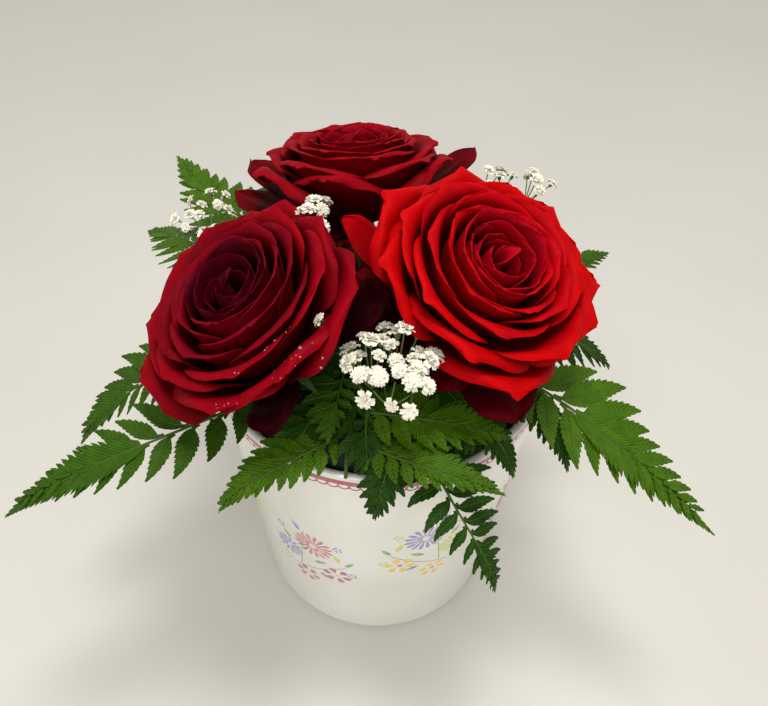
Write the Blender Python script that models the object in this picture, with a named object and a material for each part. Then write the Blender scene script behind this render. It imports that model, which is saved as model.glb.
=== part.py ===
"""Three open roses with fern fronds and baby's breath, standing in a glazed pot.

All sizes are in metres.  The origin is the centre of the pot's underside, +Z is
up, and -Y is the side that the arrangement faces.  Each rose is one stem with
its calyx and one bloom of fused petals.  Each frond is one thin blade with its
outline cut to the rib, and each spray is one mass of forking twigs with florets.
"""

import math
from collections import Counter
from dataclasses import dataclass

import bmesh
import bpy
import numpy as np
from mathutils import Matrix, Vector

# ---------------------------------------------------------------- sizes, metres

SEAT_GAP = 0.0003            # between a piece and what carries it

POT_HEIGHT = 0.160
POT_RIM_RADIUS = 0.0755
POT_FOOT_RADIUS = 0.0645
POT_WALL = 0.0040
POT_FLOOR = 0.0060
POT_FOOT_ROUND = 0.0050
POT_SIDES = 44

FOAM_TOP = 0.172             # the wet foam stands a little above the rim
FOAM_TOP_RADIUS = 0.052
FOAM_SHOULDER = 0.163
FOAM_SHOULDER_WIDTH = 0.014
FOAM_SIDES = 24

STEM_RADIUS = 0.0031
STEM_DEPTH = 0.030           # how far a rose stem reaches into its socket
STEM_STRAIGHT = 0.004        # of the stem above the foam, before it bends
STEM_STEPS = 4
STEM_SIDES = 6
CALYX_RADIUS = 0.0075
CALYX_DEPTH = 0.0120
SEPAL_LENGTH = 0.018
SEPAL_WIDTH = 0.0075

BLOOM_PETALS = 36            # the full count of the rule, from the outside in
BLOOM_WHOLE_RINGS = 13       # outer petals that are all built
BLOOM_HEART_STEP = 4         # of the inner petals, one in so many
PETAL_THICKNESS = 0.0010
PETAL_COLUMNS = 4
PETAL_ROWS = 3
GOLDEN_ANGLE = math.radians(137.508)

FROND_PAIR_SPACING = 0.0135  # along the rib, for one pair of leaflets
FROND_RIB_HALF = 0.0011
FROND_THINNEST = 0.0009      # half of a blade's least thickness
STIPE_HALF = 0.0012

TWIG_RADIUS = 0.0006
FLORET_RADIUS = 0.0036
FLORET_SIDES = 4

# --------------------------------------------------------------------- colours

COLOURS = {
    "glaze": ((0.86, 0.84, 0.80), 0.15),
    "foam": ((0.03, 0.07, 0.03), 0.90),
    "stem": ((0.06, 0.15, 0.04), 0.55),
    "bright_red": ((0.62, 0.01, 0.01), 0.55),
    "deep_red": ((0.28, 0.004, 0.012), 0.60),
    "crimson": ((0.40, 0.006, 0.02), 0.60),
    "fern": ((0.04, 0.17, 0.02), 0.40),
    "floret": ((0.80, 0.78, 0.66), 0.80),
}


# ----------------------------------------------------------- what is being built

@dataclass(frozen=True)
class Guard:
    """One outer petal that opened wider than the rest, placed by hand."""

    azimuth: float           # degrees round the bloom, before its spin
    reach: float             # radius where the petal's rim stands
    height: float            # of that rim above the bloom's seat
    width: float
    curl: float              # degrees that the rim turns outward and down


@dataclass(frozen=True)
class RoseForm:
    """Where a rose stands and how far it has opened."""

    name: str
    finish: str
    seat: tuple              # centre of the calyx's flat top
    lean: float              # degrees from upright
    toward: float            # compass of the lean, degrees from +X
    spin: float              # degrees round its own axis
    radius: float            # of the bloom at its rim
    heart: float             # height of the closed heart
    rim: float               # height of the outermost rim
    seed: int
    root: tuple              # x and y where the stem enters the foam
    guards: tuple = ()


@dataclass(frozen=True)
class FrondForm:
    """A frond's path from the foam, and its blade."""

    name: str
    root: tuple              # x and y where it leaves the foam or the front rib
    perch: float             # height of that root above the foam's own surface
    heading: float           # compass at the root, degrees from +X
    sway: float              # change of heading along the frond, degrees
    rise: float              # elevation at the root, degrees
    settle: float            # elevation that it relaxes to, degrees
    droop: float             # further change along the length, degrees
    stipe: float             # bare length below the first leaflets
    blade: float             # length that carries leaflets
    width: float             # length of the longest leaflet
    lift: float = 0.0        # how far the leaflets' tips stand above the rib
    roll: float = 0.0        # of the blade about its own rib, degrees


@dataclass(frozen=True)
class SprayForm:
    """A spray of florets: one stem that forks inside an ellipsoid crown."""

    name: str
    root: tuple
    crown: tuple             # centre of the crown
    spread: tuple            # half sizes of the crown along X, Y and Z
    florets: int
    seed: int


ROSES = (
    RoseForm("rose_right", "bright_red", (0.0302, -0.0148, 0.1972), 27.0, -42.0, 10.0,
             0.0465, 0.0400, 0.0260, 3, (0.022, -0.006),
             (Guard(-73.0, 0.045, 0.006, 0.032, 50.0), Guard(-113.0, 0.034, 0.005, 0.026, 50.0),
              Guard(158.0, 0.047, 0.014, 0.028, 40.0))),
    RoseForm("rose_left", "deep_red", (-0.0420, -0.0352, 0.1928), 31.0, -157.0, 65.0,
             0.0475, 0.0390, 0.0225, 5, (-0.031, -0.023),
             (Guard(-162.0, 0.030, 0.002, 0.028, 60.0),)),
    RoseForm("rose_back", "crimson", (-0.0120, 0.0410, 0.1980), 18.0, 100.0, 75.0,
             0.0408, 0.0350, 0.0270, 8, (-0.006, 0.022),
             (Guard(-52.0, 0.056, 0.025, 0.022, 15.0), Guard(80.0, 0.053, 0.022, 0.024, 15.0),
              Guard(98.0, 0.053, 0.012, 0.028, 20.0))),
)

FRONDS = (
    FrondForm("frond_right", (0.048, -0.026), 0.0, -27.0, -14.0, 15.0, -23.0, 6.0, 0.008, 0.102, 0.031, 0.007),
    FrondForm("frond_left", (-0.046, -0.038), 0.0, -138.0, -28.0, 5.0, 7.0, -43.0, 0.012, 0.103, 0.026, 0.005),
    FrondForm("frond_left_low", (-0.054, -0.022), 0.0, -187.0, 43.0, 5.0, -18.0, -30.0, 0.012, 0.082, 0.022, 0.003),
    FrondForm("frond_front_left", (-0.0148, -0.0625), 0.006, -139.0, -13.0, 5.0, 14.0, -57.0, 0.004, 0.052, 0.016),
    FrondForm("frond_front_up", (-0.0122, -0.0560), 0.006, 108.0, 5.0, 30.0, 20.0, 0.0, 0.004, 0.028, 0.015),
    FrondForm("frond_front_upper", (-0.0103, -0.0520), 0.001, -13.0, 7.0, 10.0, 4.0, -18.0, 0.006, 0.057, 0.021, 0.003),
    FrondForm("frond_front_right", (-0.0097, -0.0640), 0.006, -35.0, 25.0, 5.0, 11.0, -26.0, 0.004, 0.058, 0.017),
    FrondForm("frond_front_low", (0.0150, -0.0560), 0.0, -75.0, 48.0, 0.0, -20.0, -61.0, 0.010, 0.069, 0.020),
    FrondForm("frond_back_left", (-0.034, 0.026), 0.0, 143.0, -14.0, 55.0, -7.0, 27.0, 0.034, 0.073, 0.022),
    FrondForm("frond_left_back", (-0.048, 0.008), 0.0, 135.0, 0.0, 40.0, -14.0, -10.0, 0.040, 0.081, 0.022),
    FrondForm("frond_right_back", (0.044, 0.012), 0.0, 16.0, 18.0, 55.0, 0.0, -14.0, 0.026, 0.048, 0.015),
    FrondForm("frond_back", (0.004, 0.046), 0.0, 88.0, 4.0, 50.0, -12.0, -30.0, 0.030, 0.085, 0.028),
    FrondForm("frond_back_right", (0.034, 0.034), 0.0, 52.0, 5.0, 50.0, -12.0, -30.0, 0.026, 0.080, 0.026),
    FrondForm("frond_back_far", (-0.026, 0.040), 0.0, 118.0, 4.0, 50.0, -10.0, -28.0, 0.028, 0.078, 0.026),
    FrondForm("frond_right_side", (0.052, -0.002), 0.0, -2.0, -6.0, 15.0, -20.0, -25.0, 0.006, 0.052, 0.021),
    FrondForm("frond_right_rear", (0.046, 0.022), 0.0, 24.0, 8.0, 15.0, -14.0, -30.0, 0.008, 0.060, 0.022),
    FrondForm("frond_left_side", (-0.054, 0.002), 0.0, 166.0, 4.0, 5.0, -20.0, -25.0, 0.006, 0.056, 0.018),
    FrondForm("frond_left_rear", (-0.040, 0.034), 0.0, 134.0, -8.0, 15.0, -22.0, -25.0, 0.008, 0.055, 0.021),
    FrondForm("frond_inner_right", (0.036, 0.006), 0.0, 20.0, 10.0, 65.0, 25.0, -20.0, 0.008, 0.036, 0.016),
    FrondForm("frond_inner_back", (0.014, 0.034), 0.0, 66.0, 10.0, 65.0, 25.0, -20.0, 0.008, 0.040, 0.017),
)

SPRAYS = (
    SprayForm("spray_front", (0.001, -0.038), (0.001, -0.056, 0.211), (0.019, 0.012, 0.012), 14, 1),
    SprayForm("spray_middle", (-0.006, -0.004), (-0.024, 0.009, 0.222), (0.007, 0.006, 0.008), 5, 2),
    SprayForm("spray_left", (-0.044, 0.016), (-0.085, 0.045, 0.199), (0.014, 0.017, 0.009), 9, 3),
    SprayForm("spray_right", (0.030, 0.024), (0.0623, 0.0632, 0.203), (0.016, 0.012, 0.010), 9, 4),
    SprayForm("spray_back", (-0.004, 0.049), (-0.020, 0.094, 0.194), (0.018, 0.012, 0.010), 8, 5),
)

RIB_RADIUS = 0.0013          # of the rib that carries the four front fronds
RIB_PATH = (
    (-0.0125, -0.0460, 0.1737),
    (-0.0122, -0.0620, 0.1725),
    (-0.0122, -0.0705, 0.1690),
    (-0.0125, -0.0765, 0.1632),
)


# ----------------------------------------------------------------- small helpers

def lerp(start: float, end: float, t: float) -> float:
    """Value a share t of the way from start to end."""
    return start + (end - start) * t


def chance(seed: int, index: int, channel: int) -> float:
    """A repeatable number from 0 to 1 for one petal, leaflet or twig."""
    wave = math.sin(seed * 12.9898 + index * 78.233 + channel * 37.719) * 43758.5453
    return wave - math.floor(wave)


def add_material(obj: bpy.types.Object, finish: str) -> None:
    """Give the object a Principled material of its own."""
    colour, roughness = COLOURS[finish]
    material = bpy.data.materials.new(obj.name + "_finish")
    material.use_nodes = True
    shader = material.node_tree.nodes["Principled BSDF"]
    shader.inputs["Base Color"].default_value = (*colour, 1.0)
    shader.inputs["Roughness"].default_value = roughness
    shader.inputs["Metallic"].default_value = 0.0
    obj.data.materials.append(material)


def add_object(name: str, bm: bmesh.types.BMesh, finish: str) -> bpy.types.Object:
    """Turn a bmesh into a linked object with outward faces."""
    bmesh.ops.recalc_face_normals(bm, faces=bm.faces)
    mesh = bpy.data.meshes.new(name)
    bm.to_mesh(mesh)
    bm.free()
    obj = bpy.data.objects.new(name, mesh)
    bpy.context.scene.collection.objects.link(obj)
    add_material(obj, finish)
    return obj


def bmesh_from(points: list, faces: list) -> bmesh.types.BMesh:
    """A bmesh from plain points and index faces."""
    bm = bmesh.new()
    corners = [bm.verts.new(point) for point in points]
    for face in faces:
        bm.faces.new([corners[index] for index in face])
    return bm


def largest_body(bm: bmesh.types.BMesh) -> None:
    """Keep the biggest connected body: scraps go, and sealed hollows fill up."""
    unseen = set(bm.faces)
    bodies = []
    while unseen:
        stack = [unseen.pop()]
        body = list(stack)
        while stack:
            face = stack.pop()
            for edge in face.edges:
                for other in edge.link_faces:
                    if other in unseen:
                        unseen.remove(other)
                        stack.append(other)
                        body.append(other)
        bodies.append(body)
    bodies.sort(key=lambda body: sum(face.calc_area() for face in body))
    for body in bodies[:-1]:
        bmesh.ops.delete(bm, geom=body, context="FACES")


def dissolve_mid_edge(bm: bmesh.types.BMesh) -> None:
    """Remove vertices that only split an edge, unless that would double an edge."""
    for vert in [vert for vert in bm.verts if len(vert.link_edges) == 2]:
        first, second = (edge.other_vert(vert) for edge in vert.link_edges)
        if second not in [edge.other_vert(first) for edge in first.link_edges]:
            bmesh.ops.dissolve_verts(bm, verts=[vert])


def fuse(name: str, pieces: list, finish: str) -> bpy.types.Object:
    """Join closed pieces into one body with one Boolean union on a collection."""
    base = pieces[0]
    others = bpy.data.collections.new(name + "_pieces")
    for piece in pieces[1:]:
        others.objects.link(piece)
    union = base.modifiers.new("union", "BOOLEAN")
    union.operation = "UNION"
    union.operand_type = "COLLECTION"
    union.collection = others
    union.solver = "MANIFOLD"
    bpy.context.view_layer.update()
    joined = base.evaluated_get(bpy.context.evaluated_depsgraph_get())
    bm = bmesh.new()
    bm.from_mesh(joined.to_mesh())
    joined.to_mesh_clear()
    bm.transform(base.matrix_world)
    for piece in pieces:
        bpy.data.objects.remove(piece)
    bpy.data.collections.remove(others)
    largest_body(bm)
    dissolve_mid_edge(bm)
    bmesh.ops.triangulate(bm, faces=bm.faces)
    return add_object(name, bm, finish)


def revolve(name: str, profile: list, sides: int, finish: str) -> bpy.types.Object:
    """A turned solid: the profile runs from the axis, round it, and back to the axis."""
    points = [(0.0, 0.0, profile[0][1])]
    for radius, height in profile[1:-1]:
        for side in range(sides):
            angle = 2.0 * math.pi * side / sides
            points.append((radius * math.cos(angle), radius * math.sin(angle), height))
    points.append((0.0, 0.0, profile[-1][1]))
    last = len(points) - 1
    rings = len(profile) - 2
    faces = []
    for side in range(sides):
        after = (side + 1) % sides
        faces.append((0, 1 + after, 1 + side))
        for ring in range(rings - 1):
            low = 1 + ring * sides
            high = low + sides
            faces.append((low + side, low + after, high + after, high + side))
        top = 1 + (rings - 1) * sides
        faces.append((top + side, top + after, last))
    return add_object(name, bmesh_from(points, faces), finish)


def tube(name: str, path: list, radii: list, sides: int, finish: str) -> bpy.types.Object:
    """A closed tube along a path, with a flat cap at each end."""
    points = []
    faces = []
    side_axis = None
    for index, centre in enumerate(path):
        ahead = path[min(index + 1, len(path) - 1)] - path[max(index - 1, 0)]
        ahead.normalize()
        if side_axis is None:
            helper = Vector((1.0, 0.0, 0.0))
            if abs(ahead.x) > 0.8:
                helper = Vector((0.0, 1.0, 0.0))
            side_axis = helper
        side_axis = (side_axis - ahead * side_axis.dot(ahead)).normalized()
        up_axis = ahead.cross(side_axis)
        for side in range(sides):
            angle = 2.0 * math.pi * side / sides
            offset = side_axis * math.cos(angle) + up_axis * math.sin(angle)
            points.append(centre + offset * radii[index])
    for index in range(len(path) - 1):
        for side in range(sides):
            after = (side + 1) % sides
            low = index * sides
            high = low + sides
            faces.append((low + side, low + after, high + after, high + side))
    faces.append(tuple(reversed(range(sides))))
    faces.append(tuple(range(len(points) - sides, len(points))))
    return add_object(name, bmesh_from(points, faces), finish)


# ------------------------------------------------------------------ pot and foam

def build_pot() -> None:
    """The glazed pot: a flat underside, a rounded foot and a rounded lip."""
    lip = POT_WALL / 2.0
    inner_rim = POT_RIM_RADIUS - POT_WALL
    inner_foot = POT_FOOT_RADIUS - POT_WALL
    profile = [
        (0.0, 0.0),
        (POT_FOOT_RADIUS - POT_FOOT_ROUND, 0.0),
        (POT_FOOT_RADIUS - POT_FOOT_ROUND * 0.3, POT_FOOT_ROUND * 0.3),
        (POT_FOOT_RADIUS, POT_FOOT_ROUND),
        (POT_RIM_RADIUS, POT_HEIGHT - lip),
        (POT_RIM_RADIUS - lip * 0.35, POT_HEIGHT - lip * 0.35),
        (POT_RIM_RADIUS - lip, POT_HEIGHT),
        (POT_RIM_RADIUS - lip * 1.65, POT_HEIGHT - lip * 0.35),
        (inner_rim, POT_HEIGHT - lip),
        (inner_foot + 0.0004, POT_FLOOR + POT_FOOT_ROUND),
        (inner_foot - POT_FOOT_ROUND * 0.7, POT_FLOOR),
        (0.0, POT_FLOOR),
    ]
    revolve("pot", profile, POT_SIDES, "glaze")


def inner_wall_radius(height: float) -> float:
    """Radius of the pot's inside at a height."""
    low = POT_FLOOR + POT_FOOT_ROUND
    high = POT_HEIGHT - POT_WALL / 2.0
    share = (height - low) / (high - low)
    return lerp(POT_FOOT_RADIUS - POT_WALL + 0.0004, POT_RIM_RADIUS - POT_WALL, share)


def foam_height(radius: float) -> float:
    """Height of the foam's surface at a distance from the pot's middle."""
    share = max(0.0, (radius - FOAM_TOP_RADIUS) / FOAM_SHOULDER_WIDTH)
    return lerp(FOAM_TOP, FOAM_SHOULDER, share)


def build_foam() -> None:
    """The wet foam that fills the pot, with a socket for each rose stem."""
    gap = SEAT_GAP + 0.0002
    low = POT_FLOOR + POT_FOOT_ROUND
    bottom_radius = inner_wall_radius(low) - gap - POT_FOOT_ROUND * 0.7
    facets = math.cos(math.pi / POT_SIDES)
    profile = [
        (0.0, POT_FLOOR + SEAT_GAP),
        (bottom_radius * facets, POT_FLOOR + SEAT_GAP),
        ((inner_wall_radius(low) - gap) * facets, low + gap),
        ((inner_wall_radius(POT_HEIGHT - POT_WALL) - gap) * facets, POT_HEIGHT - POT_WALL),
        (FOAM_TOP_RADIUS + FOAM_SHOULDER_WIDTH, FOAM_SHOULDER),
        (FOAM_TOP_RADIUS, FOAM_TOP),
        (0.0, FOAM_TOP),
    ]
    foam = revolve("pot_filling", profile, FOAM_SIDES, "foam")
    for rose in ROSES:
        foot, ahead = stem_entry(rose)
        start = foot - ahead * (STEM_DEPTH + SEAT_GAP)
        end = foot + ahead * STEM_DEPTH
        wide = (STEM_RADIUS + SEAT_GAP) / math.cos(math.pi / STEM_SIDES)
        cutter = tube(rose.name + "_socket", [start, end], [wide, wide], STEM_SIDES, "foam")
        cut = foam.modifiers.new(rose.name, "BOOLEAN")
        cut.operation = "DIFFERENCE"
        cut.solver = "EXACT"
        cut.object = cutter
        cutter.hide_render = True
        cutter.display_type = "WIRE"


# ------------------------------------------------------------------- rose blooms

def rose_frame(rose: RoseForm) -> Matrix:
    """Placement of a bloom: its seat, its lean and its spin."""
    toward = math.radians(rose.toward)
    hinge = Vector((-math.sin(toward), math.cos(toward), 0.0))
    lean = Matrix.Rotation(math.radians(rose.lean), 4, hinge)
    spin = Matrix.Rotation(math.radians(rose.spin), 4, "Z")
    return Matrix.Translation(rose.seat) @ lean @ spin


def rim_profile(start: tuple, lean_out: tuple, tuck: tuple, rim: tuple,
                curl: float, curl_radius: float) -> np.ndarray:
    """Radius and height along a petal's middle line, from its claw to its rolled rim."""
    t = np.linspace(0.0, 1.0, 40)[:, None]
    a, b, c, d = (np.array(point) for point in (start, lean_out, tuck, rim))
    body = (1 - t) ** 3 * a + 3 * (1 - t) ** 2 * t * b + 3 * (1 - t) * t * t * c + t ** 3 * d
    last = body[-1] - body[-2]
    angle = math.atan2(last[0], last[1])
    steps = 24
    roll = [body[-1]]
    for _ in range(steps):
        angle += curl / steps
        step = np.array([math.sin(angle), math.cos(angle)]) * curl_radius * curl / steps
        roll.append(roll[-1] + step)
    return np.vstack([body, np.array(roll[1:])])


@dataclass(frozen=True)
class PetalShape:
    """Everything that one petal's surface is worked out from."""

    azimuth: float
    profile: np.ndarray      # radius and height along the middle line
    width: float
    cup: float               # how much wider than its radius the petal bends round
    spiral: float            # how far one edge tucks in behind its neighbour
    roll_angle: float        # slant of the rolled-back shoulders
    roll_radius: float
    ruffle: float
    point: float             # length of the little tip
    phase: float


def petal_shape(rose: RoseForm, index: int) -> PetalShape:
    """The petal of that index, counted from the outermost."""
    t = 1.0 - index / (BLOOM_PETALS - 1)
    opened = max(0.0, (t - 0.25) / 0.75)
    wobble = [chance(rose.seed, index, channel) - 0.5 for channel in range(7)]
    reach = lerp(0.0012, rose.radius - 0.0060, t ** 0.92) + wobble[0] * 0.0024 * min(1.0, 3 * t)
    swell = 0.0030 * math.sin(min(t / 0.35, 1.0) * math.pi / 2)
    height = rose.heart + swell - (rose.heart + swell - rose.rim) * opened ** 1.5
    height += wobble[1] * 0.0025
    claw = lerp(0.0015, 0.0065, t)
    claw_height = lerp(0.0040, 0.0020, t)
    lean_out = (claw + lerp(0.007, 0.017, t), claw_height + lerp(0.004, 0.0015, t))
    tuck = (reach + lerp(0.003, -0.007, t), height - lerp(0.017, 0.009, t))
    curl = math.radians(lerp(20.0, 100.0, min(1.0, 1.6 * t)))
    profile = rim_profile((claw, claw_height), lean_out, tuck, (reach, height),
                          curl, lerp(0.0020, 0.0070, t))
    width = lerp(0.020, 0.036, min(1.0, t / 0.35)) + 0.012 * max(0.0, (t - 0.35) / 0.65)
    return PetalShape(
        azimuth=index * GOLDEN_ANGLE + wobble[2] * 0.3,
        profile=profile,
        width=width,
        cup=lerp(1.0, 1.25, max(0.0, (t - 0.3) / 0.7)),
        spiral=lerp(0.18, 0.04, min(1.0, 3 * t)),
        roll_angle=math.radians(lerp(12.0, 34.0, t)) * (1.0 + wobble[3] * 0.4),
        roll_radius=lerp(0.0030, 0.0045, t) * (1.0 + wobble[4] * 0.4),
        ruffle=lerp(0.00015, 0.0009, t),
        point=lerp(0.0002, 0.0016, t),
        phase=(wobble[5] + 0.5) * 2 * math.pi,
    )


def guard_shape(rose: RoseForm, guard: Guard, index: int) -> PetalShape:
    """A guard petal: broad, low and opened past the rest."""
    claw = 0.0070
    lean_out = (claw + 0.016, 0.0018)
    tuck = (guard.reach - 0.010, guard.height - 0.006)
    profile = rim_profile((claw, 0.0018), lean_out, tuck, (guard.reach, guard.height),
                          math.radians(guard.curl), 0.0080)
    return PetalShape(
        azimuth=math.radians(guard.azimuth),
        profile=profile,
        width=guard.width,
        cup=1.5,
        spiral=0.0,
        roll_angle=math.radians(36.0),
        roll_radius=0.0050,
        ruffle=0.0010,
        point=0.0020,
        phase=chance(rose.seed, index, 9) * 2 * math.pi,
    )


def half_width(share: np.ndarray, width: float) -> np.ndarray:
    """Half of a petal's width at a share of its length: a claw, a broad shoulder, a blunt top."""
    shoulder = 0.68
    claw = 0.2
    rising = claw + (1.0 - claw) * np.sin(np.clip(share / shoulder, 0, 1) * math.pi / 2) ** 1.1
    falling = np.clip((share - shoulder) / (1.0 - shoulder), 0, 1)
    closing = (1.0 - falling ** 2.4) ** (1.0 / 2.4)
    return width / 2.0 * np.where(share < shoulder, rising, closing)


def petal_grid(shape: PetalShape, columns: int, rows: int) -> tuple:
    """Points and normals of a petal's middle surface, rows from the claw to the rim."""
    steps = np.hypot(*np.diff(shape.profile, axis=0).T)
    along = np.concatenate([[0.0], np.cumsum(steps)])
    radius = shape.profile[:, 0]
    height = shape.profile[:, 1]
    length = along[-1]
    bend_radius = np.maximum(np.maximum.accumulate(radius), 0.002)
    share = 1.0 - (1.0 - np.linspace(0.0, 1.0, rows + 1)) ** 1.15
    share[-1] = 0.999
    side = np.linspace(-1.0, 1.0, columns + 1)
    share, side = np.meshgrid(share, side, indexing="ij")
    across = side * half_width(share, shape.width)
    run = share * length
    top = np.clip((share - 0.8) / 0.2, 0, 1) ** 2
    run = run + shape.point * np.exp(-(across / 0.003) ** 2) * top
    lift = np.zeros_like(across)
    for sign in (-1.0, 1.0):
        slant = sign * math.sin(shape.roll_angle)
        ahead = math.cos(shape.roll_angle)
        beyond = np.clip(across * slant + (run - length + 0.0005) * ahead, 0.0, None)
        turn = np.minimum(beyond / shape.roll_radius, 2.6)
        back = beyond - shape.roll_radius * np.sin(turn)
        across = across - back * slant
        run = run - back * ahead
        lift = lift + shape.roll_radius * (1.0 - np.cos(turn))

    def surface(x: np.ndarray, s: np.ndarray) -> np.ndarray:
        inside = np.clip(s, 0.0, length)
        end = shape.profile[-1] - shape.profile[-2]
        end = end / np.hypot(*end)
        r = np.interp(inside, along, radius) + (s - inside) * end[0]
        z = np.interp(inside, along, height) + (s - inside) * end[1]
        bend = np.interp(inside, along, bend_radius) * shape.cup
        angle = x / bend
        out = r - bend * (1.0 - np.cos(angle)) + shape.spiral * x
        return np.stack([out, bend * np.sin(angle), z], axis=-1)

    small = 0.00005
    across_step = surface(across + small, run) - surface(across - small, run)
    along_step = surface(across, run + small) - surface(across, run - small)
    normal = np.cross(across_step, along_step)
    normal = normal / np.maximum(np.linalg.norm(normal, axis=-1, keepdims=True), 1e-12)
    waves = np.sin(4.3 * side + shape.phase) + 0.5 * np.sin(6.2 * side + 1.7 * shape.phase + 3 * share)
    ripple = shape.ruffle * np.clip((share - 0.35) / 0.65, 0, 1) ** 1.5 * waves
    points = surface(across, run) + normal * (lift + ripple)[..., None]
    turn = np.array([[math.cos(shape.azimuth), -math.sin(shape.azimuth), 0.0],
                     [math.sin(shape.azimuth), math.cos(shape.azimuth), 0.0],
                     [0.0, 0.0, 1.0]])
    return points @ turn.T, normal @ turn.T


def thick_sheet(name: str, points: np.ndarray, thickness: float, finish: str) -> bpy.types.Object:
    """A closed solid from a grid of points: both faces and the walls round its edge."""
    rows, columns = points.shape[:2]
    along = np.gradient(points, axis=0)
    across = np.gradient(points, axis=1)
    normal = np.cross(across, along)
    normal = normal / np.maximum(np.linalg.norm(normal, axis=-1, keepdims=True), 1e-12)
    front = (points + normal * thickness / 2).reshape(-1, 3)
    back = (points - normal * thickness / 2).reshape(-1, 3)
    count = rows * columns
    faces = []
    for row in range(rows - 1):
        for column in range(columns - 1):
            a = row * columns + column
            ring = (a, a + 1, a + columns + 1, a + columns)
            faces.append(ring)
            faces.append(tuple(count + index for index in reversed(ring)))
    edge = list(range(columns))
    edge += [row * columns + columns - 1 for row in range(1, rows)]
    edge += [(rows - 1) * columns + column for column in range(columns - 2, -1, -1)]
    edge += [row * columns for row in range(rows - 2, 0, -1)]
    for index, corner in enumerate(edge):
        following = edge[(index + 1) % len(edge)]
        faces.append((following, corner, count + corner, count + following))
    return add_object(name, bmesh_from(np.vstack([front, back]).tolist(), faces), finish)


def build_bloom(rose: RoseForm) -> None:
    """One bloom: a solid heart with the petals standing out of it."""
    core = revolve(rose.name + "_core", [
        (0.0, 0.0),
        (0.0075, 0.0),
        (0.0125, 0.0080),
        (0.0120, 0.0220),
        (0.0070, rose.heart - 0.0070),
        (0.0, rose.heart - 0.0050),
    ], 9, rose.finish)
    pieces = [core]
    shapes = []
    for index in range(BLOOM_PETALS - 1):
        if index < BLOOM_WHOLE_RINGS or (index - BLOOM_WHOLE_RINGS) % BLOOM_HEART_STEP == 0:
            shapes.append(petal_shape(rose, index))
    for index, guard in enumerate(rose.guards):
        shapes.append(guard_shape(rose, guard, index))
    for index, shape in enumerate(shapes):
        points, _ = petal_grid(shape, PETAL_COLUMNS, PETAL_ROWS)
        pieces.append(thick_sheet(f"{rose.name}_petal_{index}", points, PETAL_THICKNESS, rose.finish))
    place = rose_frame(rose)
    for piece in pieces:
        piece.matrix_world = place
    fuse(rose.name + "_bloom", pieces, rose.finish)


# ------------------------------------------------------------------- rose stems

def stem_entry(rose: RoseForm) -> tuple:
    """Where the stem leaves the foam's top, and its direction there."""
    foot = Vector((rose.root[0], rose.root[1], FOAM_TOP))
    top = rose_frame(rose) @ Vector((0.0, 0.0, -CALYX_DEPTH))
    ahead = Vector((0.0, 0.0, 1.0)) + (top - foot).normalized() * 0.6
    return foot, ahead.normalized()


def stem_path(rose: RoseForm) -> list:
    """Points of the stem: straight in its socket, then a smooth bend to the calyx."""
    place = rose_frame(rose)
    top = place @ Vector((0.0, 0.0, -CALYX_DEPTH))
    axis = (place.to_3x3() @ Vector((0.0, 0.0, 1.0))).normalized()
    foot, entry = stem_entry(rose)
    start = foot + entry * STEM_STRAIGHT
    reach = (top - start).length
    points = [foot - entry * STEM_DEPTH]
    for step in range(STEM_STEPS + 1):
        t = step / STEM_STEPS
        points.append(
            start * (2 * t ** 3 - 3 * t ** 2 + 1)
            + entry * reach * (t ** 3 - 2 * t ** 2 + t)
            + top * (-2 * t ** 3 + 3 * t ** 2)
            + axis * reach * (t ** 3 - t ** 2)
        )
    points.append(top + axis * 0.003)
    return points


def build_rose_stem(rose: RoseForm) -> None:
    """The stem with its receptacle and five sepals, clear of foam and bloom."""
    path = stem_path(rose)
    stem = tube(rose.name + "_shaft", path, [STEM_RADIUS] * len(path), STEM_SIDES, "stem")
    place = rose_frame(rose)
    cup = revolve(rose.name + "_cup", [
        (0.0, -CALYX_DEPTH - 0.001),
        (STEM_RADIUS, -CALYX_DEPTH - 0.001),
        (CALYX_RADIUS * 0.95, -CALYX_DEPTH * 0.55),
        (CALYX_RADIUS, -0.0020),
        (CALYX_RADIUS * 0.9, -SEAT_GAP),
        (0.0, -SEAT_GAP),
    ], 8, "stem")
    cup.matrix_world = place
    pieces = [stem, cup]
    for index in range(5):
        angle = 2 * math.pi * (index + 0.3) / 5
        rows = []
        for step in range(3):
            t = step / 2
            out = CALYX_RADIUS * 0.55 + SEPAL_LENGTH * t
            down = -0.0030 - 0.0100 * t ** 1.6
            half = SEPAL_WIDTH / 2 * (1.0 - t ** 1.3) + 0.0004
            rows.append([(out, half, down), (out, -half, down)])
        sepal = thick_sheet(f"{rose.name}_sepal_{index}", np.array(rows), 0.0010, "stem")
        sepal.matrix_world = place @ Matrix.Rotation(angle, 4, "Z")
        pieces.append(sepal)
    fuse(rose.name + "_stem", pieces, "stem")


# ------------------------------------------------------------------------ fronds

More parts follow.
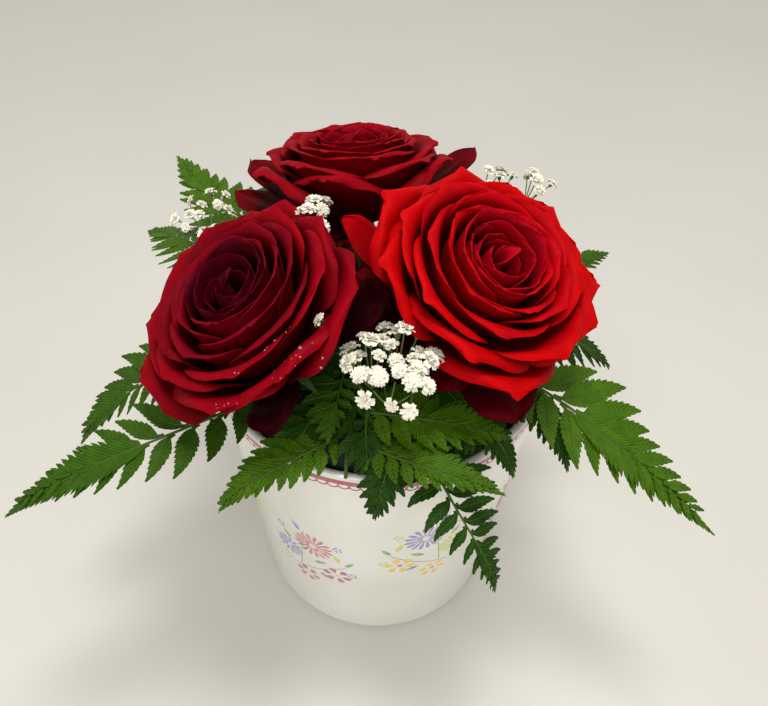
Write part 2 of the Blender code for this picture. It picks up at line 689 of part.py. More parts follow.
def frond_path(frond: FrondForm, stations: list) -> list:
    """Centre, direction and blade side at each distance along the frond."""
    total = frond.stipe + frond.blade
    relax = 0.018
    steps = 120
    height = foam_height(math.hypot(*frond.root)) + frond.perch + SEAT_GAP + STIPE_HALF
    centre = Vector((*frond.root, height))
    frames = []
    wanted = list(stations)
    travelled = 0.0
    for step in range(steps + 1):
        share = travelled / total
        rise = frond.settle + (frond.rise - frond.settle) * math.exp(-travelled / relax)
        rise = math.radians(rise + frond.droop * share * share)
        heading = math.radians(frond.heading + frond.sway * share)
        ahead = Vector((math.cos(heading) * math.cos(rise), math.sin(heading) * math.cos(rise), math.sin(rise)))
        flat = Vector((math.sin(heading), -math.cos(heading), 0.0))
        side = Matrix.Rotation(math.radians(frond.roll), 3, ahead) @ flat
        frames.append((travelled, centre.copy(), ahead, side))
        centre += ahead * total / steps
        travelled += total / steps
    result = []
    for distance in wanted:
        position = min(max(distance / total * steps, 0.0), steps)
        index = min(int(position), steps - 1)
        blend = position - index
        low = frames[index]
        high = frames[index + 1]
        middle = low[1].lerp(high[1], blend)
        ahead = low[2].lerp(high[2], blend).normalized()
        side = low[3].lerp(high[3], blend)
        side = (side - ahead * side.dot(ahead)).normalized()
        result.append((middle, ahead, side))
    return result


def leaflet_length(frond: FrondForm, share: float) -> float:
    """Length of a leaflet at a share of the blade, longest a fifth of the way up."""
    rising = 0.80 + 0.20 * math.sin(min(share / 0.2, 1.0) * math.pi / 2)
    falling = 1.0 - max(0.0, (share - 0.15) / 0.85) ** 1.15
    return frond.width * rising * falling


def build_frond(frond: FrondForm) -> None:
    """One thin closed blade with its outline cut to the rib between leaflets."""
    pairs = max(4, round(frond.blade / FROND_PAIR_SPACING))
    spacing = frond.blade * 0.86 / pairs
    stations = [0.0, frond.stipe * 0.5, frond.stipe]
    leaflets = []
    for pair in range(pairs):
        start = frond.stipe + 0.0015 + pair * spacing
        stations += [start, start + spacing * 0.62]
        leaflets.append((len(stations) - 2, (start - frond.stipe) / frond.blade))
    stations += [frond.stipe + frond.blade * 0.90, frond.stipe + frond.blade]
    frames = frond_path(frond, stations)
    half = max(FROND_THINNEST, (frond.stipe + frond.blade) / 200.0)
    points = []
    normals = []
    halves = []

    def add_point(index: int, run: float, across: float, thick: float) -> int:
        middle, ahead, side = frames[index]
        normal = side.cross(ahead).normalized()
        raised = frond.lift * (across / frond.width) ** 2
        points.append(middle + ahead * run + side * across + normal * raised)
        normals.append(normal)
        halves.append(thick)
        return len(points) - 1

    faces = []
    rails = {1: [], -1: []}
    last = len(stations) - 1
    for index in range(len(stations)):
        bare = index < 2
        wide = STIPE_HALF if bare else FROND_RIB_HALF
        thick = STIPE_HALF if bare else half
        if index == last - 1:
            wide = 0.0030
        if index == last:
            wide = 0.0004
        for sign in (1, -1):
            rails[sign].append(add_point(index, 0.0, sign * wide, thick))
    for index in range(len(stations) - 1):
        faces.append((rails[1][index], rails[-1][index], rails[-1][index + 1], rails[1][index + 1]))
    for station, share in leaflets:
        length = leaflet_length(frond, share)
        slant = math.radians(lerp(58.0, 34.0, share))
        broad = min(spacing * 0.62, length * 0.40)
        for sign in (1, -1):
            out = sign * math.sin(slant)
            ahead = math.cos(slant)
            low = rails[sign][station]
            high = rails[sign][station + 1]
            middle_run = length * 0.40 * ahead
            middle_out = FROND_RIB_HALF * sign + length * 0.40 * out
            near = add_point(station, middle_run + broad * 0.10, middle_out + sign * broad * 0.25, half)
            far = add_point(station, middle_run + broad * 1.05, middle_out - sign * broad * 0.45, half)
            tip_run = broad * 0.5 + length * ahead
            tip = add_point(station, tip_run, FROND_RIB_HALF * sign + length * out, half)
            base = (low, near, far, high)
            point = (near, tip, far)
            if sign > 0:
                faces += [tuple(reversed(base)), tuple(reversed(point))]
            else:
                faces += [base, point]
    count = len(points)
    top = [points[i] + normals[i] * halves[i] for i in range(count)]
    bottom = [points[i] - normals[i] * halves[i] for i in range(count)]
    solid_faces = list(faces)
    solid_faces += [tuple(count + index for index in reversed(face)) for face in faces]
    used = Counter()
    for face in faces:
        for index, corner in enumerate(face):
            used[(corner, face[(index + 1) % len(face)])] += 1
    for (first, second) in used:
        if (second, first) not in used:
            solid_faces.append((second, first, count + first, count + second))
    bm = bmesh_from(top + bottom, solid_faces)
    bmesh.ops.triangulate(bm, faces=bm.faces)
    add_object(frond.name, bm, "fern")


# ------------------------------------------------------------------------ sprays

def spray_twigs(spray: SprayForm) -> tuple:
    """Twig paths and floret centres of one spray, by its seeded rule."""
    root = Vector((spray.root[0], spray.root[1], FOAM_TOP + SEAT_GAP))
    crown = Vector(spray.crown)
    fork = crown - Vector((0.0, 0.0, spray.spread[2] * 1.3))
    upright = root + Vector((0.0, 0.0, 0.003))
    bend = upright.lerp(fork, 0.5) + Vector((0.0, 0.0, 0.002))
    twigs = [[root, upright, bend, fork]]
    heads = []
    boughs = max(3, spray.florets // 4)
    joints = []
    for bough in range(boughs):
        angle = bough * GOLDEN_ANGLE + spray.seed
        share = math.sqrt((bough + 0.5) / boughs) * 0.55
        joint = crown + Vector((
            spray.spread[0] * share * math.cos(angle),
            spray.spread[1] * share * math.sin(angle),
            -spray.spread[2] * (0.35 + 0.3 * chance(spray.seed, bough, 1)),
        ))
        joints.append(joint)
        twigs.append([fork, joint])
    for floret in range(spray.florets):
        angle = floret * GOLDEN_ANGLE + 0.7 * spray.seed
        share = math.sqrt((floret + 0.5) / spray.florets)
        height = math.sqrt(max(0.0, 1.0 - share * share)) * (0.35 + 0.65 * chance(spray.seed, floret, 2))
        head = crown + Vector((
            spray.spread[0] * share * math.cos(angle),
            spray.spread[1] * share * math.sin(angle),
            spray.spread[2] * height,
        ))
        joint = min(joints, key=lambda point: (point - head).length)
        twigs.append([joint, head])
        heads.append(head)
    return twigs, heads


def build_spray(spray: SprayForm) -> None:
    """One spray of three-sided twigs with florets fused on."""
    twigs, heads = spray_twigs(spray)
    pieces = []
    for index, path in enumerate(twigs):
        radii = [TWIG_RADIUS] * len(path)
        if index == 0:
            radii = [TWIG_RADIUS * 1.5] * len(path)
        pieces.append(tube(f"{spray.name}_twig_{index}", path, radii, 3, "floret"))
    for index, head in enumerate(heads):
        outline = [(0.0, -FLORET_RADIUS), (FLORET_RADIUS, 0.0), (0.0, FLORET_RADIUS)]
        floret = revolve(f"{spray.name}_floret_{index}", outline, FLORET_SIDES, "floret")
        turn = Matrix.Rotation(chance(spray.seed, index, 3) * 3.0, 4, "X")
        floret.matrix_world = Matrix.Translation(head) @ turn
        pieces.append(floret)
    fuse(spray.name, pieces, "floret")


# --------------------------------------------------------------------- assembly

def main() -> None:
    """Build the whole arrangement in an emptied scene."""
    for obj in list(bpy.data.objects):
        bpy.data.objects.remove(obj, do_unlink=True)
    build_pot()
    build_foam()
    for rose in ROSES:
        build_rose_stem(rose)
        build_bloom(rose)
    rib = [Vector(point) for point in RIB_PATH]
    tube("front_rib", rib, [RIB_RADIUS] * len(rib), 6, "fern")
    for frond in FRONDS:
        build_frond(frond)
    for spray in SPRAYS:
        build_spray(spray)


main()
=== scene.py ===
"""Visual model of a potted arrangement: three open red roses, leatherleaf fern
fronds and baby's breath, standing in wet foam in a white glazed pot.

Everything is in metres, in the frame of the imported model: the origin is the centre
of the pot's underside, +Z is up and the arrangement faces -Y.
"""

import logging
import math
from dataclasses import dataclass
from enum import Enum
from typing import ClassVar

import bpy
import numpy as np
from mathutils import Matrix, Vector, noise
from mathutils.bvhtree import BVHTree


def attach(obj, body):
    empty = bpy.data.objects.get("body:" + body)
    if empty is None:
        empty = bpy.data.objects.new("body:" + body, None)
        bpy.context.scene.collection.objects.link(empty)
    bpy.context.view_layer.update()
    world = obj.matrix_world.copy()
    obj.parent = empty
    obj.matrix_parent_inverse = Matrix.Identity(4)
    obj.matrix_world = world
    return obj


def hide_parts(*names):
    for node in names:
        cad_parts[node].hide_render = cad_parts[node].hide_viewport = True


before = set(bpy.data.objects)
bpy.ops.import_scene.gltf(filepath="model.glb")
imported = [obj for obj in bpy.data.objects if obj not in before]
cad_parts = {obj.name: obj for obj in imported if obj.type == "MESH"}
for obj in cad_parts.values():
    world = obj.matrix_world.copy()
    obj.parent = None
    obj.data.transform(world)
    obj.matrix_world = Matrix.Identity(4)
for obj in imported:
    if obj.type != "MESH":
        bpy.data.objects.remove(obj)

Array = np.ndarray
Tree = bpy.types.NodeTree
Node = bpy.types.Node
Socket = bpy.types.NodeSocket

LOG = logging.getLogger("arrangement")
BODY = "root"
MM = 0.001
GOLDEN_ANGLE = math.radians(137.508)

SEAT_GAP = 0.0003  # between a piece and what carries it
FOAM_TOP = 0.172
FOAM_TOP_RADIUS = 0.052
FOAM_SHOULDER = 0.163
FOAM_SHOULDER_WIDTH = 0.014


# ---- small helpers

def lerp(start: float, end: float, t: float) -> float:
    """Value a share t of the way from start to end."""
    return start + (end - start) * t


def chance(seed: int, index: int, channel: int) -> float:
    """A repeatable number from 0 to 1 for one petal, leaflet or twig."""
    wave = math.sin(seed * 12.9898 + index * 78.233 + channel * 37.719) * 43758.5453
    return wave - math.floor(wave)


def linear(colour: str) -> tuple:
    """Turn an sRGB hex colour into linear red, green, blue and alpha.

    Args:
        colour: six hex digits after a hash.

    Returns:
        Four numbers, as a shader socket takes them.
    """
    values = [int(colour[start:start + 2], 16) / 255.0 for start in (1, 3, 5)]
    parts = [v / 12.92 if v <= 0.04045 else ((v + 0.055) / 1.055) ** 2.4 for v in values]
    return (*parts, 1.0)


def per_metre(millimetres: float) -> float:
    """Scale that makes a pattern repeat about once in so many millimetres."""
    return 1000.0 / millimetres


def unit(vectors: Array) -> Array:
    """The same vectors at length one."""
    return vectors / np.maximum(np.linalg.norm(vectors, axis=-1, keepdims=True), 1e-12)


def bezier(a: Array, b: Array, c: Array, d: Array, t: Array) -> Array:
    """Points of a cubic curve at the shares t."""
    t = t[:, None]
    return (1 - t) ** 3 * a + 3 * (1 - t) ** 2 * t * b + 3 * (1 - t) * t * t * c + t ** 3 * d


def travelled(line: Array) -> Array:
    """Distance along a line of points at each of them, as a column."""
    return np.concatenate([[0.0], np.cumsum(np.linalg.norm(np.diff(line, axis=0), axis=1))])[:, None]


def polar(radius: float, angle: float) -> Array:
    """The point at a radius and an angle in radians, across and up."""
    return np.stack([radius * np.cos(angle), radius * np.sin(angle)], -1)


def turned_by(turn: float, along: Array, across: Array) -> Array:
    """Turn flat points about the middle.

    Args:
        turn: of the direction, in radians.
        along: of each point.
        across: of each point.

    Returns:
        The points across and up.
    """
    return np.stack([
        along * math.cos(turn) - across * math.sin(turn),
        along * math.sin(turn) + across * math.cos(turn),
    ], -1)


def moved(points: Array, place: Matrix) -> Array:
    """Points of any arrangement carried from a piece's own axes to the pot's."""
    flat = points.reshape(-1, 3) @ np.array(place.to_3x3()).T + np.array(place.translation)
    return flat.reshape(points.shape)


def shown(name: str, data: bpy.types.ID) -> bpy.types.Object:
    """Put a new object in the scene.

    Args:
        name: the object's name.
        data: what it shows.

    Returns:
        The object, linked to the scene.
    """
    made = bpy.data.objects.new(name, data)
    bpy.context.scene.collection.objects.link(made)
    return made


# ---- joined meshes

class Shell:
    """Collects many closed bits into the one mesh of a piece.

    Each point also carries a pattern coordinate in metres, so that veins and
    fibres follow the bit that they are on.
    """

    def __init__(self) -> None:
        """Start with nothing."""
        self.points: list = []
        self.patterns: list = []
        self.quads: list = []
        self.triangles: list = [np.zeros((0, 3), int)]
        self.count = 0

    def add(self, points: Array, pattern: Array, quads: Array,
            triangles: Array = None) -> None:
        """Add one bit.

        Args:
            points: its corners, one row each.
            pattern: two pattern coordinates for each corner.
            quads: four corner numbers for each face.
            triangles: three corner numbers for each face, if it has any.
        """
        self.points.append(points)
        self.patterns.append(pattern)
        self.quads.append(quads + self.count)
        if triangles is not None:
            self.triangles.append(triangles + self.count)
        self.count += len(points)

    def sheet(self, grid: Array, thickness: Array, pattern: Array) -> None:
        """Add a closed sheet: both faces of a grid and the walls round its edge.

        Args:
            grid: points in rows and columns on the sheet's middle surface.
            thickness: at each point, or one number.
            pattern: two pattern coordinates at each point.
        """
        rows, columns = grid.shape[:2]
        normal = unit(np.cross(np.gradient(grid, axis=1), np.gradient(grid, axis=0)))
        offset = normal * (np.broadcast_to(thickness, (rows, columns)) / 2.0)[..., None]
        index = np.arange(rows * columns).reshape(rows, columns)
        front = np.stack([index[:-1, :-1], index[:-1, 1:], index[1:, 1:], index[1:, :-1]], -1)
        front = front.reshape(-1, 4)
        edge = np.concatenate([index[0, :], index[1:, -1], index[-1, -2::-1], index[-2:0:-1, 0]])
        after = np.roll(edge, -1)
        total = rows * columns
        walls = np.stack([after, edge, total + edge, total + after], -1)
        self.add(
            np.concatenate([(grid + offset).reshape(-1, 3), (grid - offset).reshape(-1, 3)]),
            np.concatenate([pattern.reshape(-1, 2)] * 2),
            np.concatenate([front, front[:, ::-1] + total, walls]),
        )

    def wrap(self, rings: Array, ends: Array, across: Array = 0.0,
             along: Array = 0.0, inward: bool = False) -> None:
        """Add a closed solid of rings, with a point that closes it at each end.

        Args:
            rings: points in rows, one row for each ring.
            ends: the point before the first ring and the point after the last.
            across: pattern coordinate round each ring.
            along: pattern coordinate from ring to ring.
            inward: True where the rings run the other way round.
        """
        steps, sides = rings.shape[:2]
        index = np.arange(steps * sides).reshape(steps, sides)
        after = np.roll(index, -1, axis=1)
        quads = np.stack([index[:-1], after[:-1], after[1:], index[1:]], -1).reshape(-1, 4)
        end = np.full(sides, steps * sides)
        first = np.stack([after[0], index[0], end], -1)
        last = np.stack([index[-1], after[-1], end + 1], -1)
        caps = np.concatenate([first, last])
        if inward:
            quads = quads[:, [0, 3, 2, 1]]
            caps = caps[:, [1, 0, 2]]
        pattern = np.zeros((steps * sides + 2, 2))
        pattern[:-2, 0] = np.broadcast_to(across, (steps, sides)).ravel()
        pattern[:-2, 1] = np.broadcast_to(along, (steps, sides)).ravel()
        pattern[-1, 1] = pattern[-3, 1]
        self.add(np.concatenate([rings.reshape(-1, 3), ends]), pattern, quads, caps)

    def tube(self, path: Array, radii: Array, sides: int) -> None:
        """Add a closed tube along a path, with a low dome at each end.

        Args:
            path: points of its middle line.
            radii: its radius at each point, or one number.
            sides: corners of its section.
        """
        radii = np.broadcast_to(radii, (len(path),))
        ahead = unit(np.gradient(path, axis=0))
        helper = np.array([1.0, 0.0, 0.0])
        if abs(ahead[0][0]) > 0.8:
            helper = np.array([0.0, 1.0, 0.0])
        angle = np.arange(sides) * math.tau / sides
        rings = []
        for centre, direction, radius in zip(path, ahead, radii):
            helper = unit(helper - direction * helper.dot(direction))
            other = np.cross(direction, helper)
            ring = np.cos(angle)[:, None] * helper + np.sin(angle)[:, None] * other
            rings.append(centre + ring * radius)
        ends = np.stack([path[0] - ahead[0] * radii[0] * 0.5, path[-1] + ahead[-1] * radii[-1] * 0.5])
        self.wrap(np.stack(rings), ends, angle * radii.max(), travelled(path))

    def turned(self, profile: list, sides: int, place: Matrix = None) -> None:
        """Add a turned solid.

        Args:
            profile: radius and height, from the axis round it and back to the axis.
            sides: corners of each ring.
            place: where its own axis stands, or None for the pot's.
        """
        profile = np.asarray(profile)
        angle = np.arange(sides) * math.tau / sides
        inner = profile[1:-1]
        height = np.broadcast_to(inner[:, 1:], (len(inner), sides))
        rings = np.stack([inner[:, :1] * np.cos(angle), inner[:, :1] * np.sin(angle), height], -1)
        ends = np.array([[0.0, 0.0, profile[0][1]], [0.0, 0.0, profile[-1][1]]])
        if place is not None:
            rings = moved(rings, place)
            ends = moved(ends, place)
        self.wrap(rings, ends, inner[:, :1] * angle, travelled(inner))

    def piece(self, name: str, finish: "Finish", slot: str, replaces: tuple = (),
              crease: float = 50.0) -> bpy.types.Object:
        """Turn what was collected into one shown piece.

        Args:
            name: the piece's name.
            finish: what it is made of.
            slot: the record's material slot; not used.
            replaces: the nodes that it stands for.
            crease: edges that bend more than this many degrees stay sharp.

        Returns:
            The new object, riding on the arrangement's one body.
        """
        points = np.concatenate(self.points)
        quads = np.concatenate(self.quads)
        triangles = np.concatenate(self.triangles)
        corners = np.concatenate([quads.ravel(), triangles.ravel()])
        fours = len(quads)
        starts = np.concatenate([np.arange(fours) * 4, fours * 4 + np.arange(len(triangles)) * 3])
        mesh = bpy.data.meshes.new(name)
        mesh.vertices.add(len(points))
        mesh.vertices.foreach_set("co", points.astype(np.float32).ravel())
        mesh.loops.add(len(corners))
        mesh.loops.foreach_set("vertex_index", corners.astype(np.int32))
        mesh.polygons.add(len(starts))
        mesh.polygons.foreach_set("loop_start", starts.astype(np.int32))
        layer = mesh.uv_layers.new(name="pattern")
        pattern = np.concatenate(self.patterns)[corners]
        layer.uv.foreach_set("vector", pattern.astype(np.float32).ravel())
        mesh.update(calc_edges=True)
        mesh.validate()
        mesh.shade_smooth()
        mesh.set_sharp_from_angle(angle=math.radians(crease))
        mesh.materials.append(finish.material())
        piece = shown(name, mesh)
        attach(piece, BODY)
        if replaces:
            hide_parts(*replaces)
        LOG.info("%s: %d triangles", name, 2 * len(quads) + len(triangles))
        return piece


# ---- finishes

def add_node(tree: Tree, kind: str, settings: dict, links: dict) -> Node:
    """Add a node, set it and link it.

    Args:
        tree: the material's nodes.
        kind: Blender's name for the node.
        settings: values by the name of a socket or of a setting.
        links: the socket that feeds each named or numbered input.

    Returns:
        The new node.
    """
    node = tree.nodes.new(kind)
    for key, value in settings.items():
        if isinstance(key, int) or key in node.inputs:
            node.inputs[key].default_value = value
        else:
            setattr(node, key, value)
    for key, source in links.items():
        tree.links.new(source, node.inputs[key])
    return node


@dataclass(frozen=True)
class Finish:
    """What a surface is made of. Each kind below adds its own pattern and gloss."""

    gloss: ClassVar[dict] = {}  # this kind's other even values, by socket

    name: str
    colour: str
    roughness: float

    def material(self) -> bpy.types.Material:
        """Make the finish's material, or find it where it is made already.

        Returns:
            The material.
        """
        made = bpy.data.materials.get(self.name)
        if made:
            return made
        made = bpy.data.materials.new(self.name)
        made.use_nodes = True
        shader = made.node_tree.nodes["Principled BSDF"]
        even = {"Base Color": linear(self.colour), "Roughness": self.roughness, **self.gloss}
        for socket, value in even.items():
            shader.inputs[socket].default_value = value
        self.dress(made.node_tree, shader)
        return made

    def dress(self, tree: Tree, shader: Node) -> None:
        """Add the pattern of this kind of finish."""

    def wander(self, tree: Tree, shader: Node, other: str, vector: Socket, size: float,
               most: float) -> Socket:
        """Let the colour drift towards another in soft patches.

        Args:
            tree: the material's nodes.
            shader: the surface's shader.
            other: the colour that it drifts to, sRGB hex.
            vector: where the pattern lies.
            size: of a patch, in millimetres.
            most: the share of the other colour where it is strongest.

        Returns:
            The drifting colour.
        """
        cloud = add_node(tree, "ShaderNodeTexNoise", {"Scale": per_metre(size), "Detail": 3.0},
                         {"Vector": vector})
        share = add_node(tree, "ShaderNodeMapRange",
                         {"From Min": 0.35, "From Max": 0.65, "To Max": most},
                         {"Value": cloud.outputs["Fac"]})
        blend = add_node(tree, "ShaderNodeMix",
                         {"data_type": "RGBA", 6: linear(self.colour), 7: linear(other)},
                         {0: share.outputs["Result"]})
        tree.links.new(blend.outputs[2], shader.inputs["Base Color"])
        return blend.outputs[2]

    def relief(self, tree: Tree, shader: Node, height: Socket, depth: float) -> None:
        """Raise the surface by a height pattern, depth in millimetres."""
        bump = add_node(tree, "ShaderNodeBump", {"Distance": depth * MM}, {"Height": height})
        tree.links.new(bump.outputs["Normal"], shader.inputs["Normal"])


@dataclass(frozen=True)
class Glaze(Finish):
    """White earthenware under a clear fired glaze: wet gloss over slow waves."""

    gloss: ClassVar[dict] = {"IOR": 1.52, "Coat Weight": 1.0, "Coat Roughness": 0.04}

    wave: float = 22.0  # mm, how far apart the brushed glaze swells
    peel: float = 1.6  # mm, the fine orange peel of a fired glaze

    def dress(self, tree: Tree, shader: Node) -> None:
        """A clear coat over the body, with slow waves and fine peel.

        Args:
            tree: the material's nodes.
            shader: the surface's shader.
        """
        spot = add_node(tree, "ShaderNodeTexCoord", {}, {}).outputs["Object"]
        slow = add_node(tree, "ShaderNodeTexNoise", {"Scale": per_metre(self.wave), "Detail": 1.0},
                        {"Vector": spot})
        fine = add_node(tree, "ShaderNodeTexNoise", {"Scale": per_metre(self.peel), "Detail": 1.0},
                        {"Vector": spot})
        height = add_node(tree, "ShaderNodeMath", {"operation": "MULTIPLY_ADD", 1: 0.025},
                          {0: fine.outputs["Fac"], 2: slow.outputs["Fac"]})
        self.relief(tree, shader, height.outputs["Value"], 0.55)
        self.wander(tree, shader, "#dedccb", spot, 35.0, 0.5)


@dataclass(frozen=True)
class Enamel(Finish):
    """Painted overglaze colour, fired on: a little patchy where the brush ran dry."""

    gloss: ClassVar[dict] = {"IOR": 1.52, "Coat Weight": 0.3, "Coat Roughness": 0.08}

    dry: float = 0.3  # how much glaze shows through where it is thinnest

    def dress(self, tree: Tree, shader: Node) -> None:
        """Brush patches a millimetre or two across, paler where they are thin."""
        spot = add_node(tree, "ShaderNodeTexCoord", {}, {}).outputs["Object"]
        self.wander(tree, shader, "#e9e4da", spot, 2.2, self.dry)


@dataclass(frozen=True)
class WetFoamFinish(Finish):
    """Soaked floral foam: dark, crumbly and damp."""

    def dress(self, tree: Tree, shader: Node) -> None:
        """Open cells half a millimetre across, drawn at one to show.

        Args:
            tree: the material's nodes.
            shader: the surface's shader.
        """
        spot = add_node(tree, "ShaderNodeTexCoord", {}, {}).outputs["Object"]
        cells = add_node(tree, "ShaderNodeTexVoronoi", {"Scale": per_metre(1.0)},
                         {"Vector": spot})
        self.relief(tree, shader, cells.outputs["Distance"], 0.4)
        self.wander(tree, shader, "#091408", spot, 4.0, 0.8)


FOLD_SHADE = (0.16, 0.05, 0.1, 1.0)  # what light between two petals does to their colour


@dataclass(frozen=True)
class Petal(Finish):
    """A rose petal: velvet cells over fine veins that fan from the claw, and painted shade in the folds
    below its rim.
    """

    gloss: ClassVar[dict] = {"IOR": 1.42, "Specular IOR Level": 0.04, "Sheen Weight": 0.07,
                             "Sheen Roughness": 0.35, "Sheen Tint": (1.0, 0.01, 0.03, 1.0)}

    shade: str = "#5a0308"  # what the colour drifts to in patches
    hollow: float = 0.86  # how much of the colour the painted shade takes away in the folds between petals
    deepest: float = 0.017  # how far below the rim the painted shade is at its darkest
    lit: float = 0.001  # how far below the rim the painted shade starts

    def dress(self, tree: Tree, shader: Node) -> None:
        """Veins about a millimetre apart along the petal, a soft nap, and painted shade that deepens
        below the rim.

        Args:
            tree: the material's nodes.
            shader: the surface's shader.
        """
        spot = add_node(tree, "ShaderNodeUVMap", {"uv_map": "pattern"}, {}).outputs["UV"]
        stretch = add_node(tree, "ShaderNodeMapping",
                           {"Scale": (per_metre(0.9), per_metre(14.0), 1.0)},
                           {"Vector": spot})
        veins = add_node(tree, "ShaderNodeTexNoise", {"Scale": 1.0, "Detail": 3.0, "Roughness": 0.6},
                         {"Vector": stretch.outputs["Vector"]})
        self.relief(tree, shader, veins.outputs["Fac"], 0.1)
        drift = self.wander(tree, shader, self.shade, spot, 9.0, 0.35)
        # painted shade: the colour darkens with depth below the rim, where the folds between petals are
        parts = add_node(tree, "ShaderNodeSeparateXYZ", {}, {0: spot})
        depth = add_node(tree, "ShaderNodeMapRange",
                         {"From Min": -self.lit, "From Max": -self.deepest, "To Max": self.hollow},
                         {"Value": parts.outputs["Y"]})
        fold_shaded = add_node(tree, "ShaderNodeMix",
                          {"data_type": "RGBA", "blend_type": "MULTIPLY", 7: FOLD_SHADE},
                          {0: depth.outputs["Result"], 6: drift})
        tree.links.new(fold_shaded.outputs[2], shader.inputs["Base Color"])


@dataclass(frozen=True)
class Frill(Finish):
    """A baby's breath petal: papery, matt and slightly creamy."""

    gloss: ClassVar[dict] = {"Specular IOR Level": 0.3}

    def dress(self, tree: Tree, shader: Node) -> None:
        """Soft cream patches a few millimetres across."""
        spot = add_node(tree, "ShaderNodeTexCoord", {}, {}).outputs["Object"]
        self.wander(tree, shader, "#dcd6bb", spot, 3.0, 0.5)


@dataclass(frozen=True)
class Leaf(Finish):
    """Leatherleaf: a waxy green blade with paler side veins that slant forward."""

    gloss: ClassVar[dict] = {"IOR": 1.45, "Specular IOR Level": 0.13}

    pale: str = "#5d8a2c"  # the veins' colour, and the patches'
    vein: float = 1.7  # mm, from one side vein to the next

    def dress(self, tree: Tree, shader: Node) -> None:
        """Side veins under the wax, and patches of lighter green.

        Args:
            tree: the material's nodes.
            shader: the surface's shader.
        """
        spot = add_node(tree, "ShaderNodeTexCoord", {}, {}).outputs["Object"]
        blade = add_node(tree, "ShaderNodeUVMap", {"uv_map": "pattern"}, {}).outputs["UV"]
        patches = self.wander(tree, shader, self.pale, spot, 5.0, 0.35)
        veins = add_node(tree, "ShaderNodeTexWave",
                         {"bands_direction": "Y", "Scale": per_metre(self.vein) * math.pi / 10.0,
                          "Distortion": 1.2, "Detail": 1.0, "Detail Scale": 2.0},
                         {"Vector": blade})
        ridge = add_node(tree, "ShaderNodeMapRange",
                         {"From Min": 0.45, "From Max": 1.0, "To Max": 0.55},
                         {"Value": veins.outputs["Fac"]})
        lit = add_node(tree, "ShaderNodeMix", {"data_type": "RGBA", 7: linear(self.pale)},
                       {0: ridge.outputs["Result"], 6: patches})
        tree.links.new(lit.outputs[2], shader.inputs["Base Color"])
        self.relief(tree, shader, veins.outputs["Fac"], 0.1)


@dataclass(frozen=True)
class Stalk(Finish):
    """A green stem: smooth skin with faint fibres along it."""

    gloss: ClassVar[dict] = {"Specular IOR Level": 0.2}

    fibre: float = 0.5  # mm, from one fibre to the next

    def dress(self, tree: Tree, shader: Node) -> None:
        """Fibres that run along the stem.

        Args:
            tree: the material's nodes.
            shader: the surface's shader.
        """
        spot = add_node(tree, "ShaderNodeUVMap", {"uv_map": "pattern"}, {}).outputs["UV"]
        stretch = add_node(tree, "ShaderNodeMapping",
                           {"Scale": (per_metre(self.fibre), per_metre(12.0), 1.0)},
                           {"Vector": spot})
        lines = add_node(tree, "ShaderNodeTexNoise", {"Scale": 1.0, "Detail": 2.0},
                         {"Vector": stretch.outputs["Vector"]})
        self.relief(tree, shader, lines.outputs["Fac"], 0.08)
        self.wander(tree, shader, "#3f4a1a", spot, 6.0, 0.4)


@dataclass(frozen=True)
class Water(Finish):
    """Sprayed water in beads: clear, and bright only where it catches a lamp."""

    gloss: ClassVar[dict] = {"IOR": 1.33, "Transmission Weight": 0.6}


@dataclass(frozen=True)
class Tabletop(Finish):
    """A plain pale laminate top with a low satin gloss."""

    def dress(self, tree: Tree, shader: Node) -> None:
        """Very slow drift of tone, and a faint swell in the gloss.

        Args:
            tree: the material's nodes.
            shader: the surface's shader.
        """
        spot = add_node(tree, "ShaderNodeTexCoord", {}, {}).outputs["Object"]
        swell = add_node(tree, "ShaderNodeTexNoise", {"Scale": per_metre(60.0), "Detail": 2.0},
                         {"Vector": spot})
        self.relief(tree, shader, swell.outputs["Fac"], 0.25)
        self.wander(tree, shader, "#d1cdc4", spot, 160.0, 0.6)


GLAZE = Glaze("white_earthenware_glaze", "#e9e7dd", 0.22)
BAND = Enamel("rose_pink_enamel", "#a93850", 0.26, 0.12)
SCALLOPS = Enamel("dusk_pink_enamel", "#a83a54", 0.26, 0.12)
FOAM = WetFoamFinish("wet_floral_foam", "#122411", 0.8)
STEM = Stalk("rose_stem_skin", "#2c4a1b", 0.45)
RIB = Stalk("fern_rib_skin", "#3d5a16", 0.45)
TWIG = Stalk("babys_breath_stalk", "#6c8147", 0.55)
FLORET = Frill("babys_breath_petal", "#f1eddf", 0.75)
DEW = Water("sprayed_water", "#e8b8b4", 0.05)
FLOOR = Tabletop("pale_laminate", "#d5d2ca", 0.3)


